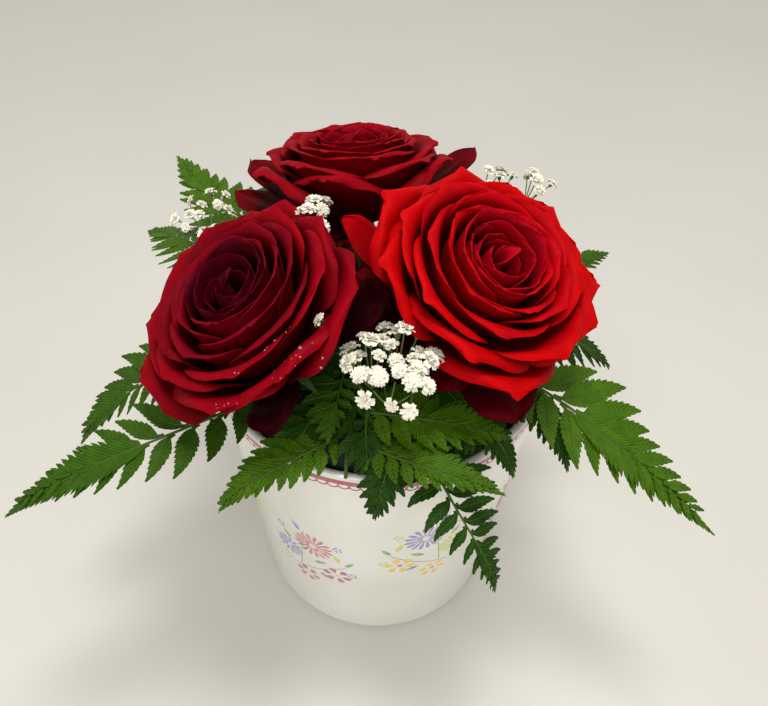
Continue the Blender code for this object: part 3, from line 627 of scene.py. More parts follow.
class Bloom(Enum):
    """The petals' finishes of the three roses, in the order of the tiers. The heart and guard tiers are
    darker partly in the petals' own tone and partly as painted shade, deep in the bloom and under it.
    """

    # the three reds differ partly in the roses' own tone and partly as painted light: the scarlet rose
    # painted brighter for being lit, the maroon and crimson ones darker for their shade
    SCARLET = (
        Petal("scarlet_outer_petal", "#ba0206", 0.5, "#920205", hollow=0.72),
        Petal("scarlet_middle_petal", "#b2020a", 0.5, "#84020c", hollow=0.74),
        Petal("scarlet_heart_petal", "#aa0618", 0.52, "#780312", hollow=0.74),
        # the guard colour: the petals' darker backs, deepened with painted shade under the bloom
        Petal("scarlet_guard_petal", "#560209", 0.54, "#320106"),
    )
    MAROON = (
        Petal("maroon_outer_petal", "#8e0212", 0.52, "#5a020d"),
        Petal("maroon_middle_petal", "#780212", 0.52, "#48010f"),
        Petal("maroon_heart_petal", "#4c0211", 0.54, "#2a010a"),
        Petal("maroon_guard_petal", "#33020b", 0.46, "#1c0106"),
    )
    CRIMSON = (
        Petal("crimson_outer_petal", "#900310", 0.52, "#5c020c"),
        Petal("crimson_middle_petal", "#920311", 0.52, "#5e020e", hollow=0.8),
        Petal("crimson_heart_petal", "#8e0416", 0.54, "#56030f", hollow=0.8),
        Petal("crimson_guard_petal", "#66030f", 0.54, "#3c0208"),
    )


class Green(Enum):
    """The fronds' greens, from the sunlit front to the shaded back: lit and shaded copies of one fern
    green, with painted light and painted shade.
    """

    FRESH = Leaf("fern_fresh", "#2e5003", 0.5, "#53760f")
    MID = Leaf("fern_mid", "#254503", 0.5, "#43660e")
    DARK = Leaf("fern_dark", "#163203", 0.52, "#2b4f09")


# ---- pot

@dataclass(frozen=True)
class Pot:
    """The glazed pot: a flat underside, a rounded foot and a rounded lip."""

    height: float = 0.16
    rim_radius: float = 0.0755
    foot_radius: float = 0.0645
    wall: float = 0.004
    floor: float = 0.006
    foot_round: float = 0.005
    sides: int = 176

    def radius(self, height: Array) -> Array:
        """Outside radius of the wall at a height.

        Args:
            height: above the underside.

        Returns:
            The radius there.
        """
        low = self.foot_round
        high = self.height - self.wall / 2.0
        return lerp(self.foot_radius, self.rim_radius, (height - low) / (high - low))

    def inner_radius(self, height: Array) -> Array:
        """Inside radius of the wall at a height.

        Args:
            height: above the underside.

        Returns:
            The radius there.
        """
        low = self.floor + self.foot_round
        high = self.height - self.wall / 2.0
        share = (height - low) / (high - low)
        return lerp(self.foot_radius - self.wall + 0.0004, self.rim_radius - self.wall, share)

    def on_wall(self, azimuth: Array, height: Array, proud: Array) -> Array:
        """Points on the outside wall.

        Args:
            azimuth: radians from the front, positive towards +X.
            height: above the underside.
            proud: how far outside the glaze.

        Returns:
            One point for each entry.
        """
        reach = self.radius(height) + proud
        return np.stack([reach * np.sin(azimuth), -reach * np.cos(azimuth), height], -1)

    def profile(self) -> list:
        """The outline from the underside's middle, up the wall and down the inside.

        Returns:
            Radius and height of each point.
        """
        outline = [(0.0, 0.0), (self.foot_radius * 0.5, 0.0)]
        bend = self.foot_round
        lip = self.wall / 2.0
        top = self.height - lip
        for step in range(9):
            angle = math.pi / 2 * step / 8
            outline.append((self.foot_radius - bend + bend * math.sin(angle),
                            bend - bend * math.cos(angle)))
        for step in range(1, 25):
            height = lerp(bend, top, step / 24)
            outline.append((float(self.radius(height)), height))
        for step in range(1, 13):
            angle = math.pi * step / 12
            outline.append((self.rim_radius - lip + lip * math.cos(angle), top + lip * math.sin(angle)))
        for step in range(1, 9):
            height = lerp(top, self.floor + bend, step / 8)
            outline.append((float(self.inner_radius(height)), height))
        inside = self.foot_radius - self.wall
        corner = (inside - bend * 0.3, self.floor + bend * 0.3)
        return outline + [corner, (inside - bend, self.floor), (0.0, self.floor)]

    def build(self) -> None:
        """Make the pot."""
        shell = Shell()
        shell.turned(self.profile(), self.sides)
        shell.piece("glazed_pot", GLAZE, "glaze", ("pot",), 70.0)


@dataclass(frozen=True)
class Brush:
    """Lays fired colour on the pot's wall as thin closed lenses."""

    pot: Pot
    proud: float = 0.09 * MM  # the thickest of the colour above the glaze
    edge: float = -0.02 * MM  # where a mark's edge runs into the glaze
    sunk: float = -0.25 * MM  # the hidden back of each mark, inside the wall

    def stroke(self, shell: Shell, azimuth: Array, height: Array, width: Array) -> None:
        """Lay one stroke of a given width along a line on the wall.

        Args:
            shell: the mesh that takes it.
            azimuth: of the line's points, in radians.
            height: of the line's points.
            width: of the stroke at each point, or one number.
        """
        reach = self.pot.radius(height)
        flat = np.stack([azimuth * reach, height], -1)
        ahead = unit(np.gradient(flat, axis=0))
        side = np.stack([-ahead[:, 1], ahead[:, 0]], -1)
        half = np.broadcast_to(width, azimuth.shape)[:, None] / 2.0
        section = ((-1.0, self.edge), (-0.55, self.proud), (0.55, self.proud), (1.0, self.edge),
                   (0.55, self.sunk), (-0.55, self.sunk))
        lines = []
        for across, proud in section:
            spot = flat + side * half * across
            lines.append(self.pot.on_wall(spot[:, 0] / reach, spot[:, 1], proud))
        rings = np.stack(lines, 1)
        shell.wrap(rings, rings[[0, -1]].mean(1), inward=True)

    def patch(self, shell: Shell, azimuth: float, height: float, outline: Array) -> None:
        """Lay one filled shape.

        Args:
            shell: the mesh that takes it.
            azimuth: of the shape's own middle, in radians.
            height: of the shape's own middle.
            outline: its edge as metres across and up from its middle.
        """
        reach = float(self.pot.radius(height))
        middle = outline.mean(0)

        def laid(flat: Array, proud: float) -> Array:
            """Points of the shape's own plane on the wall, so far proud of it."""
            return self.pot.on_wall(azimuth + flat[..., 0] / reach, height + flat[..., 1], proud)

        levels = ((0.5, self.proud), (0.86, self.proud), (1.0, self.edge), (0.7, self.sunk))
        rings = np.stack([laid(middle + (outline - middle) * scale, proud) for scale, proud in levels])
        ends = np.stack([laid(middle, self.proud * 1.1), laid(middle, self.sunk)])
        shell.wrap(rings, ends, inward=True)


@dataclass(frozen=True)
class Border:
    """The pink line under the lip with its row of scallops."""

    brush: Brush
    top: float = 0.1578
    band: float = 0.0034  # height of the solid band
    scallops: int = 104
    drop: float = 0.0026  # how far a scallop hangs below the band
    line: float = 0.001  # width of the scallop's line

    def build(self) -> None:
        """Make the band and its scallops as two pieces."""
        band = Shell()
        arcs = Shell()
        turn = np.linspace(0.0, math.tau, 241)
        for start in range(0, 240, 60):
            quarter = turn[start:start + 61]
            middle = np.full_like(quarter, self.top - self.band / 2.0)
            self.brush.stroke(band, quarter, middle, self.band)
        step = math.tau / self.scallops
        swing = np.linspace(0.0, math.pi, 11)
        for index in range(self.scallops):
            centre = index * step
            azimuth = centre - np.cos(swing) * step * 0.5
            height = self.top - self.band - np.sin(swing) ** 0.8 * self.drop
            self.brush.stroke(arcs, azimuth, height, self.line)
        band.piece("painted_band", BAND, "glaze")
        arcs.piece("painted_scallops", SCALLOPS, "glaze")


class Paint(Enum):
    """The small flowers' fired colours."""

    LILAC = Enamel("lilac_enamel", "#8a80be", 0.3)
    CORAL = Enamel("coral_enamel", "#c8666a", 0.3)
    ROSE = Enamel("rose_enamel", "#b4577f", 0.3)
    YELLOW = Enamel("yellow_enamel", "#e9c936", 0.3)
    LIME = Enamel("lime_enamel", "#c8d253", 0.3)
    LEAF = Enamel("leaf_enamel", "#6ba468", 0.3)
    TAUPE = Enamel("taupe_enamel", "#8f8680", 0.3)


@dataclass(frozen=True)
class PaintedFlowers:
    """Loose sprigs of small flowers painted round the pot."""

    brush: Brush
    sprigs: int = 8

    def drop(self, length: float, width: float, turn: float, out: float) -> Array:
        """A drop-shaped petal that points away from a flower's middle.

        Args:
            length: from its narrow end to its round end.
            width: at its widest.
            turn: its direction, in radians.
            out: how far its narrow end is from the middle.

        Returns:
            Its outline across and up.
        """
        angle = np.linspace(0.0, -math.tau, 15)[:-1]
        along = out + length * (0.5 - 0.5 * np.cos(angle))
        share = (along - out) / length
        across = width / 2.0 * np.sin(angle) * (0.45 + 0.75 * share)
        return turned_by(turn, along, across)

    def flower(self, shells: dict, paint: Paint, middle: tuple, petals: int, size: float) -> None:
        """Paint one open flower: a ring of petals and a dot, or two full rings.

        Args:
            shells: the mesh of each colour.
            paint: its colour.
            middle: azimuth and height of its middle.
            petals: how many it has in a ring.
            size: its radius.
        """
        azimuth, height = middle
        rings = ((0.62, 0.38), (0.3, 0.16)) if petals > 10 else ((0.62, 0.36),)
        for length, out in rings:
            for index in range(petals):
                turn = math.tau * index / petals + petals + 9.0 * out
                width = size * (out + length * 0.7) * 4.3 / petals
                petal = self.drop(size * length, width, turn, size * out)
                self.brush.patch(shells[paint], azimuth, height, petal)
        if petals > 10:
            return
        dot = self.drop(size * 0.36, size * 0.36, 0.0, -size * 0.18)
        middle_paint = Paint.CORAL if paint is Paint.YELLOW else Paint.YELLOW
        self.brush.patch(shells[middle_paint], azimuth, height, dot)

    def leaf(self, shells: dict, paint: Paint, middle: tuple, turn: float, size: float) -> None:
        """Paint one pointed leaf.

        Args:
            shells: the mesh of each colour.
            paint: its colour.
            middle: azimuth and height of its middle.
            turn: its direction, in radians.
            size: its length.
        """
        angle = np.linspace(0.0, math.tau, 15)[:-1]
        along = size / 2.0 * np.cos(angle)
        swell = (1.0 - 0.3 * np.cos(angle)) * np.abs(np.sin(angle)) ** 0.4
        across = size * 0.17 * np.sin(angle) * swell
        self.brush.patch(shells[paint], *middle, turned_by(turn, along, across))

    def stem(self, shells: dict, paint: Paint, start: tuple, end: tuple, sag: float) -> None:
        """Paint one thin curved stem between two places.

        Args:
            shells: the mesh of each colour.
            paint: its colour.
            start: azimuth and height of one end.
            end: azimuth and height of the other.
            sag: how far its middle hangs.
        """
        t = np.linspace(0.0, 1.0, 13)
        azimuth = lerp(start[0], end[0], t)
        height = lerp(start[1], end[1], t) - sag * np.sin(math.pi * t)
        self.brush.stroke(shells[paint], azimuth, height, 0.55 * MM)

    def sprig(self, shells: dict, azimuth: float, low: float, mirror: float, warm: bool) -> None:
        """Paint one sprig.

        Args:
            shells: the mesh of each colour.
            azimuth: of its middle, in radians.
            low: height of its foot.
            mirror: 1 or -1 for the way that it leans.
            warm: True for coral and rose flowers, False for lilac and yellow ones.
        """
        def spot(across: float, up: float) -> tuple:
            """Azimuth and height of a place so many millimetres across and up."""
            height = low + up * MM
            return azimuth + mirror * across * MM / float(self.brush.pot.radius(height)), height

        main = Paint.CORAL if warm else Paint.LILAC
        second = Paint.ROSE if warm else Paint.YELLOW
        third = Paint.LILAC if warm else Paint.LIME
        self.stem(shells, Paint.TAUPE, spot(-12.0, 3.0), spot(17.0, 20.0), 2.0 * MM)
        self.stem(shells, Paint.LEAF, spot(-8.0, 6.0), spot(-3.0, 44.0), -1.5 * MM)
        self.flower(shells, main, spot(1.0, 33.0), 16, 10.6 * MM)
        self.flower(shells, second, spot(12.0, 9.0), 6, 7.6 * MM)
        self.flower(shells, third, spot(-14.0, 19.0), 13, 8.4 * MM)
        self.flower(shells, second, spot(-5.0, -2.0), 6, 7.0 * MM)
        leaves = (
            (Paint.LEAF, 4.0, 18.0, 0.5, 8.0), (Paint.LIME, -17.0, 7.0, 2.4, 9.0),
            (Paint.LEAF, 19.0, 24.0, 0.9, 7.0), (Paint.LILAC, -7.0, 47.0, 2.0, 8.0),
            (Paint.TAUPE, 6.0, 4.0, -0.4, 7.5), (Paint.LIME, 13.0, 28.0, 1.9, 8.0),
            (Paint.LEAF, -14.0, 31.0, 2.2, 7.0),
        )
        for paint, across, up, turn, size in leaves:
            self.leaf(shells, paint, spot(across, up), math.pi * (mirror < 0) + mirror * turn, size * MM)
        for across, up in ((20.0, 12.0), (14.0, 38.0), (-17.0, 38.0)):
            self.flower(shells, third, spot(across, up), 5, 2.6 * MM)

    def build(self) -> None:
        """Paint all the sprigs, one piece for each colour."""
        shells = {paint: Shell() for paint in Paint}
        for index in range(self.sprigs):
            azimuth = math.radians(-26.0 + 360.0 / self.sprigs * index)
            low, mirror, warm = ((0.055, 1.0, True), (0.072, -1.0, False))[index % 2]
            self.sprig(shells, azimuth, low, mirror, warm)
        for paint, shell in shells.items():
            shell.piece("painted_" + paint.name.lower(), paint.value, "glaze")


@dataclass(frozen=True)
class Foam:
    """The wet foam that fills the pot and stands a little above its rim."""

    pot: Pot
    rings: int = 52
    sides: int = 150
    half_way: float = 0.1  # a ring of the block between its top and its foot
    gap: float = SEAT_GAP + 0.0002  # beside the pot's wall
    settled: float = 0.0006  # how far the crumbled skin lies under the cut surface
    crumbs: tuple = ((2.4, 0.0005), (7.0, 0.0006))  # mm across, and depth of each size

    @staticmethod
    def surface(radius: float) -> float:
        """Height of the foam at a distance from the pot's middle."""
        share = max(0.0, (radius - FOAM_TOP_RADIUS) / FOAM_SHOULDER_WIDTH)
        return lerp(FOAM_TOP, FOAM_SHOULDER, share)

    def build(self) -> None:
        """Make the crumbled mound and the block below it."""
        pot = self.pot
        edge = FOAM_TOP_RADIUS + FOAM_SHOULDER_WIDTH
        angle = math.tau * np.arange(self.sides) / self.sides
        rings = []
        for ring in range(1, self.rings + 1):
            radius = edge * ring / self.rings
            points = np.column_stack([polar(radius, angle), np.zeros(self.sides)])
            for point in points:
                crumb = sum(noise.noise(Vector(point) * per_metre(size)) * depth
                            for size, depth in self.crumbs)
                point[2] = self.surface(radius) - self.settled + crumb
            rings.append(points)
        low = pot.floor + pot.foot_round
        walls = [(float(pot.inner_radius(height)), height)
                 for height in (pot.height - pot.wall, self.half_way, low + self.gap)]
        walls.append((float(pot.inner_radius(low)) - pot.foot_round * 0.7, pot.floor + SEAT_GAP))
        for radius, height in walls:
            rings.append(np.column_stack([polar(radius - self.gap, angle), np.full(self.sides, height)]))
        shell = Shell()
        ends = np.array([[0.0, 0.0, FOAM_TOP], [0.0, 0.0, pot.floor + SEAT_GAP]])
        shell.wrap(np.stack(rings), ends, inward=True)
        shell.piece("wet_foam", FOAM, "foam", ("pot_filling",), 60.0)


# ---- roses

class Tier(Enum):
    """Where a petal stands in its bloom; each tier is one piece."""

    OUTER = 0
    MIDDLE = 1
    HEART = 2
    GUARD = 3


@dataclass(frozen=True)
class Guard:
    """One outer petal that opened wider than the rest, placed one by one."""

    azimuth: float  # degrees round the bloom, before its spin
    reach: float  # radius where the petal's rim stands
    height: float  # of that rim above the bloom's seat
    width: float
    curl: float  # degrees that the rim turns outward and down
    tier: Tier = Tier.GUARD  # whose colour it has; the guard tier's dark colour is partly painted shade under the bloom


@dataclass(frozen=True)
class PetalShape:
    """One petal's surface, worked out from a profile and a few bends."""

    azimuth: float
    profile: Array  # radius and height along the middle line
    width: float
    cup: float  # how much wider than its radius the petal bends round
    spiral: float  # how far one edge tucks in behind its neighbour
    roll_angle: float  # slant of the rolled-back shoulders
    roll_radius: float
    ruffle: float
    point: float  # length of the little tip
    phase: float
    fold: float = 2.6  # most that a shoulder rolls back, in radians
    apex: float = 0.0015  # how far past the rim the two rolls meet

    def half_width(self, share: Array) -> Array:
        """Half of the width at a share of the length: claw, shoulder and blunt top.

        Args:
            share: of the length from the claw.

        Returns:
            The half width there.
        """
        shoulder = 0.7
        claw = 0.2
        blunt = 2.7
        rising = claw + (1.0 - claw) * np.sin(np.clip(share / shoulder, 0, 1) * math.pi / 2) ** 1.1
        falling = np.clip((share - shoulder) / (1.0 - shoulder), 0, 1)
        closing = (1.0 - falling ** blunt) ** (1.0 / blunt)
        return self.width / 2.0 * np.where(share < shoulder, rising, closing)

    def grid(self, columns: int, rows: int) -> tuple:
        """The middle surface.

        Args:
            columns: cells across the petal.
            rows: cells from its claw to its rim.

        Returns:
            Points, and pattern coordinates across and along, in rows and columns.
        """
        along = np.concatenate([[0.0], np.cumsum(np.hypot(*np.diff(self.profile, axis=0).T))])
        radius, height = self.profile.T
        length = along[-1]
        bend_radius = np.maximum(np.maximum.accumulate(radius), 0.002)
        share = 1.0 - (1.0 - np.linspace(0.0, 1.0, rows + 1)) ** 1.25
        share[-1] = 0.9995
        widest = math.pi / 2 * 0.8  # cells are closer together towards the petal's sides
        side = np.sin(np.linspace(-1.0, 1.0, columns + 1) * widest) / math.sin(widest)
        share, side = np.meshgrid(share, side, indexing="ij")
        across = side * self.half_width(share)
        run = share * length
        pattern = np.stack([across, run - length], -1)
        top = np.clip((share - 0.8) / 0.2, 0, 1) ** 2
        tip_width = 0.003
        run = run + self.point * np.exp(-(across / tip_width) ** 2) * top
        lift = np.zeros_like(across)
        for sign in (-1.0, 1.0):
            slant = sign * math.sin(self.roll_angle)
            ahead = math.cos(self.roll_angle)
            beyond = np.clip(across * slant + (run - length - self.apex) * ahead, 0.0, None)
            turn = np.minimum(beyond / self.roll_radius, self.fold)
            back = beyond - self.roll_radius * np.sin(turn)
            across = across - back * slant
            run = run - back * ahead
            lift = lift + self.roll_radius * (1.0 - np.cos(turn))

        def surface(x: Array, s: Array) -> Array:
            """Lay flat places on the bent sheet.

            Args:
                x: across the petal.
                s: along it from the claw.

            Returns:
                The points.
            """
            inside = np.clip(s, 0.0, length)
            end = self.profile[-1] - self.profile[-2]
            end = end / np.hypot(*end)
            r = np.interp(inside, along, radius) + (s - inside) * end[0]
            z = np.interp(inside, along, height) + (s - inside) * end[1]
            bend = np.interp(inside, along, bend_radius) * self.cup
            angle = x / bend
            out = r - bend * (1.0 - np.cos(angle)) + self.spiral * x
            return np.stack([out, bend * np.sin(angle), z], axis=-1)

        small = 0.00005
        across_step = surface(across + small, run) - surface(across - small, run)
        along_step = surface(across, run + small) - surface(across, run - small)
        normal = unit(np.cross(across_step, along_step))
        phase = self.phase
        waves = np.sin(4.3 * side + phase) + 0.5 * np.sin(6.2 * side + 1.7 * phase + 3 * share)
        fine = 0.35 * np.sin(11.0 * side + 2.3 * phase + 5.0 * share)
        fine = fine * np.clip((share - 0.6) / 0.4, 0, 1)
        ripple = self.ruffle * np.clip((share - 0.35) / 0.65, 0, 1) ** 1.5 * (waves + fine)
        points = surface(across, run) + normal * (lift + ripple)[..., None]
        cos, sin = math.cos(self.azimuth), math.sin(self.azimuth)
        turn = np.array([[cos, -sin, 0.0], [sin, cos, 0.0], [0.0, 0.0, 1.0]])
        return points @ turn.T, pattern


def rim_profile(start: tuple, lean_out: tuple, tuck: tuple, rim: tuple,
                curl: float, curl_radius: float) -> Array:
    """Radius and height along a petal's middle line, from its claw to its rolled rim.

    Args:
        start: radius and height of the claw.
        lean_out: where the petal leaves the claw towards.
        tuck: where it comes to the rim from.
        rim: where the roll starts.
        curl: angle of the roll.
        curl_radius: radius of the roll.

    Returns:
        One row of radius and height for each point.
    """
    corners = [np.array(point) for point in (start, lean_out, tuck, rim)]
    body = bezier(*corners, np.linspace(0.0, 1.0, 60))
    angle = math.atan2(*(body[-1] - body[-2]))
    steps = 36
    roll = [body[-1]]
    for _ in range(steps):
        angle += curl / steps
        step = np.array([math.sin(angle), math.cos(angle)]) * curl_radius * curl / steps
        roll.append(roll[-1] + step)
    return np.vstack([body, roll[1:]])


@dataclass(frozen=True)
class Rose:
    """One rose: where it stands, how far it has opened, and its stem."""

    name: str
    bloom: Bloom
    seat: tuple  # centre of the calyx's flat top
    lean: float  # degrees from upright
    toward: float  # compass of the lean, degrees from +X
    spin: float  # degrees round its own axis
    radius: float  # of the bloom at its rim
    heart: float  # height of the closed heart
    rim: float  # height of the outermost rim
    seed: int
    root: tuple  # x and y where the stem enters the foam
    guards: tuple = ()
    sway: tuple = (0.0, 0.0)  # how far the heart stands off its axis, along X and Y
    fuller: tuple = ()  # compass, extra reach and half angle of each fuller side
    tips: float = 1.0  # how pointed the petals are
    bud_compass: float = 20.0  # where the heart's folded petal leans, degrees from +X
    hollow: float = 0.0022  # how much wider the ring round the heart stands
    swell: float = 0.003  # how much higher that ring stands than the heart
    unevenness: float = 0.002  # of the petals' reach and height
    curl: tuple = (15.0, 78.0)  # each pair: at the heart and at the outermost petal
    curl_radius: tuple = (0.002, 0.0065)
    width: tuple = (0.022, 0.048)
    spiral: tuple = (0.16, 0.05)
    roll: tuple = (14.0, 40.0)
    roll_radius: tuple = (0.005, 0.0034)
    ruffle: tuple = (0.0001, 0.0005)
    petals: int = 40
    outer: int = 14  # petals of the outer tier
    middle: int = 27  # petals of the outer and middle tiers together
    petal_thickness: float = 0.00055
    rim_thinning: float = 0.0003
    stem_radius: float = 0.0031
    stem_depth: float = 0.03
    stem_straight: float = 0.004
    calyx_radius: float = 0.0075
    calyx_depth: float = 0.012
    sepal_length: float = 0.018
    sepal_width: float = 0.0075
    sepal_thickness: float = 0.0006

    def place(self) -> Matrix:
        """Placement of the bloom: its seat, its lean and its spin.

        Returns:
            The matrix from the bloom's axes to the pot's.
        """
        toward = math.radians(self.toward)
        hinge = Vector((-math.sin(toward), math.cos(toward), 0.0))
        lean = Matrix.Rotation(math.radians(self.lean), 4, hinge)
        spin = Matrix.Rotation(math.radians(self.spin), 4, "Z")
        return Matrix.Translation(self.seat) @ lean @ spin

    def petal(self, index: int) -> PetalShape:
        """Work out one petal of the bloom.

        Args:
            index: counted from the outermost petal.

        Returns:
            Its surface.
        """
        t = 1.0 - index / (self.petals - 1)
        opened = max(0.0, (t - 0.25) / 0.75)
        wide_open = max(0.0, (t - 0.55) / 0.45)
        soon = min(1.0, 3 * t)
        wobble = [chance(self.seed, index, channel) - 0.5 for channel in range(7)]
        hollow = self.hollow * math.exp(-((t - 0.16) / 0.1) ** 2)
        reach = lerp(0.004, self.radius - 0.006, t ** 0.95) + hollow
        reach += wobble[0] * self.unevenness * soon
        azimuth = index * GOLDEN_ANGLE + wobble[2] * 0.3
        for compass, extra, half_angle in self.fuller:
            off = math.remainder(math.degrees(azimuth) + self.spin - compass, 360.0) / half_angle
            reach += extra * math.exp(-off * off) * t * t
        swell = self.swell * math.sin(min(t / 0.35, 1.0) * math.pi / 2)
        height = self.heart + swell - (self.heart + swell - self.rim) * opened ** 1.5
        height += wobble[1] * self.unevenness
        claw = (lerp(0.0015, 0.0065, t), lerp(0.004, 0.002, t))
        lean_out = (claw[0] + lerp(0.007, 0.017, t), claw[1] + lerp(0.004, 0.0015, t))
        tuck = (reach + lerp(0.003, -0.007, t), height - lerp(0.017, 0.009, t))
        curl = lerp(*self.curl, min(1.0, 1.5 * t)) - 14.0 * max(0.0, t - 0.67) / 0.33
        profile = rim_profile(claw, lean_out, tuck, (reach, height), math.radians(curl),
                              lerp(*self.curl_radius, t))
        return PetalShape(
            azimuth=azimuth, profile=profile,
            width=lerp(*self.width, min(1.0, t / 0.45)) + 0.009 * max(0.0, (t - 0.45) / 0.55),
            cup=lerp(1.0, 1.25, max(0.0, (t - 0.3) / 0.7)),
            spiral=lerp(*self.spiral, soon),
            roll_angle=math.radians(lerp(*self.roll, wide_open)) * (1.0 + wobble[3] * 0.4),
            roll_radius=lerp(*self.roll_radius, wide_open) * (1.0 + wobble[4] * 0.4),
            ruffle=lerp(*self.ruffle, t),
            point=lerp(0.0002, 0.0042 * self.tips, t * t),
            phase=(wobble[5] + 0.5) * math.tau,
            fold=lerp(1.1, 2.4, wide_open),
            apex=lerp(-0.0005, 0.0024, wide_open),
        )

    def guard(self, guard: Guard, index: int) -> PetalShape:
        """A guard petal: broad, low and opened past the rest.

        Args:
            guard: where it stands.
            index: its number in the bloom.

        Returns:
            Its surface.
        """
        claw = 0.007
        low = 0.0018
        tuck = (guard.reach - 0.01, guard.height - 0.006)
        profile = rim_profile((claw, low), (claw + 0.016, low), tuck, (guard.reach, guard.height),
                              math.radians(guard.curl), 0.008)
        return PetalShape(
            azimuth=math.radians(guard.azimuth), profile=profile, width=guard.width, cup=1.5, spiral=0.0,
            roll_angle=math.radians(36.0), roll_radius=0.005, ruffle=0.001, point=0.002,
            phase=chance(self.seed, index, 9) * math.tau,
        )

    def bud(self, tall: float) -> PetalShape:
        """The small folded petal that stands in the middle of the heart.

        Args:
            tall: how far it stands above the heart.

        Returns:
            Its surface.
        """
        profile = rim_profile((0.001, 0.006), (0.0014, 0.015), (0.0012, self.heart * 0.7),
                              (0.0004, self.heart + tall), 0.5, 0.003)
        return PetalShape(
            azimuth=math.radians(self.bud_compass - self.spin), profile=profile, width=0.0125, cup=1.2,
            spiral=0.12, roll_angle=math.radians(52.0), roll_radius=0.003, ruffle=0.0001, point=0.0035,
            phase=1.0, fold=1.2, apex=0.0,
        )

    def build_bloom(self) -> None:
        """Make the tiers of petals; the outer one stands for the solid bloom."""
        place = self.place()
        shells = {tier: Shell() for tier in Tier}
        shapes = []
        for index in range(self.petals - 1):
            tier = Tier.OUTER if index < self.outer else Tier.MIDDLE
            if index >= self.middle:
                tier = Tier.HEART
            shapes.append((tier, self.petal(index)))
        shapes.append((Tier.HEART, self.bud(0.003)))
        shapes += [(guard.tier, self.guard(guard, index)) for index, guard in enumerate(self.guards)]
        cells = {Tier.OUTER: (26, 28), Tier.MIDDLE: (24, 24), Tier.HEART: (28, 17), Tier.GUARD: (24, 24)}
        for tier, shape in shapes:
            grid, pattern = shape.grid(*cells[tier])
            share = np.linspace(0.0, 1.0, grid.shape[0])[:, None]
            edge = np.abs(np.linspace(-1.0, 1.0, grid.shape[1]))[None, :]
            rim = np.maximum(share, edge * np.clip(share * 2.0, 0.0, 1.0)) ** 6
            sway = np.clip(grid[..., 2:] / self.heart, 0.0, 1.2) ** 2 * np.array([*self.sway, 0.0])
            thickness = self.petal_thickness - self.rim_thinning * rim
            shells[tier].sheet(moved(grid, place) + sway, thickness, pattern)
        core = [(0.0, 0.0), (0.0075, 0.0), (0.011, 0.006), (0.01, 0.016), (0.0, 0.02)]
        shells[Tier.HEART].turned(core, 24, place)
        for tier, shell in shells.items():
            replaced = (self.name + "_bloom",) if tier is Tier.OUTER else ()
            name = f"{self.name}_{tier.name.lower()}_petals"
            shell.piece(name, self.bloom.value[tier.value], self.slot_name(), replaced)

    def slot_name(self) -> str:
        """The record's slot for this rose's petals."""
        return {Bloom.SCARLET: "petal_bright", Bloom.MAROON: "petal_deep",
                Bloom.CRIMSON: "petal_crimson"}[self.bloom]

    def stem_path(self) -> Array:
        """Lead the stem straight out of its socket, then in a smooth bend to the calyx.

        Returns:
            The points of its middle line.
        """
        place = self.place()
        up = Vector((0.0, 0.0, 1.0))
        top = place @ (up * -self.calyx_depth)
        axis = (place.to_3x3() @ up).normalized()
        foot = Vector((*self.root, FOAM_TOP))
        entry = (up + (top - foot).normalized() * 0.6).normalized()
        start = foot + entry * self.stem_straight
        reach = (top - start).length
        points = [foot - entry * self.stem_depth, foot - entry * self.stem_depth * 0.5, foot]
        for step in range(17):
            t = step / 16
            points.append(
                start * (2 * t ** 3 - 3 * t ** 2 + 1)
                + entry * reach * (t ** 3 - 2 * t ** 2 + t)
                + top * (-2 * t ** 3 + 3 * t ** 2)
                + axis * reach * (t ** 3 - t ** 2)
            )
        points.append(top + axis * 0.003)
        return np.array(points)

    def build_stem(self) -> None:
        """Make the stem, its swollen receptacle and five hanging sepals."""
        place = self.place()
        shell = Shell()
        shell.tube(self.stem_path(), self.stem_radius, 18)
        low = -self.calyx_depth - 0.001
        cup = [(0.0, low)]
        for step in range(13):
            t = step / 12
            swell = lerp(self.stem_radius * 0.9, self.calyx_radius, math.sin(t * math.pi / 2) ** 1.3)
            cup.append((swell, low + t * (self.calyx_depth - 0.0008)))
        shell.turned(cup + [(self.calyx_radius * 0.9, -SEAT_GAP), (0.0, -SEAT_GAP)], 26, place)
        for index in range(5):
            turn = Matrix.Rotation(math.tau * (index + 0.3) / 5, 4, "Z")
            t, side = np.meshgrid(np.linspace(0.0, 1.0, 15), np.linspace(-1.0, 1.0, 7), indexing="ij")
            half = self.sepal_width / 2 * (1.0 - t ** 1.3) + 0.0002
            out = self.calyx_radius * 0.55 + self.sepal_length * t
            down = -0.003 - 0.01 * t ** 1.6 - 0.0012 * side ** 2 + 0.001 * np.sin(7.0 * t + index)
            grid = moved(np.stack([out, -side * half, down], -1), place @ turn)
            shell.sheet(grid, self.sepal_thickness, np.stack([side * half, out], -1))
        shell.piece(self.name + "_stem_and_calyx", STEM, "rose_stem", (self.name + "_stem",))

    def build(self) -> None:
        """Make the stem and the bloom."""
        self.build_stem()
        self.build_bloom()


# ---- fronds

QUILT = 0.52  # where a blade swells between its middle and its edge
COLUMNS = np.array([-1.0, -QUILT, 0.0, QUILT, 1.0])  # across a blade, in half widths
TIP_HALF = 0.00012  # half width of a blade's very tip


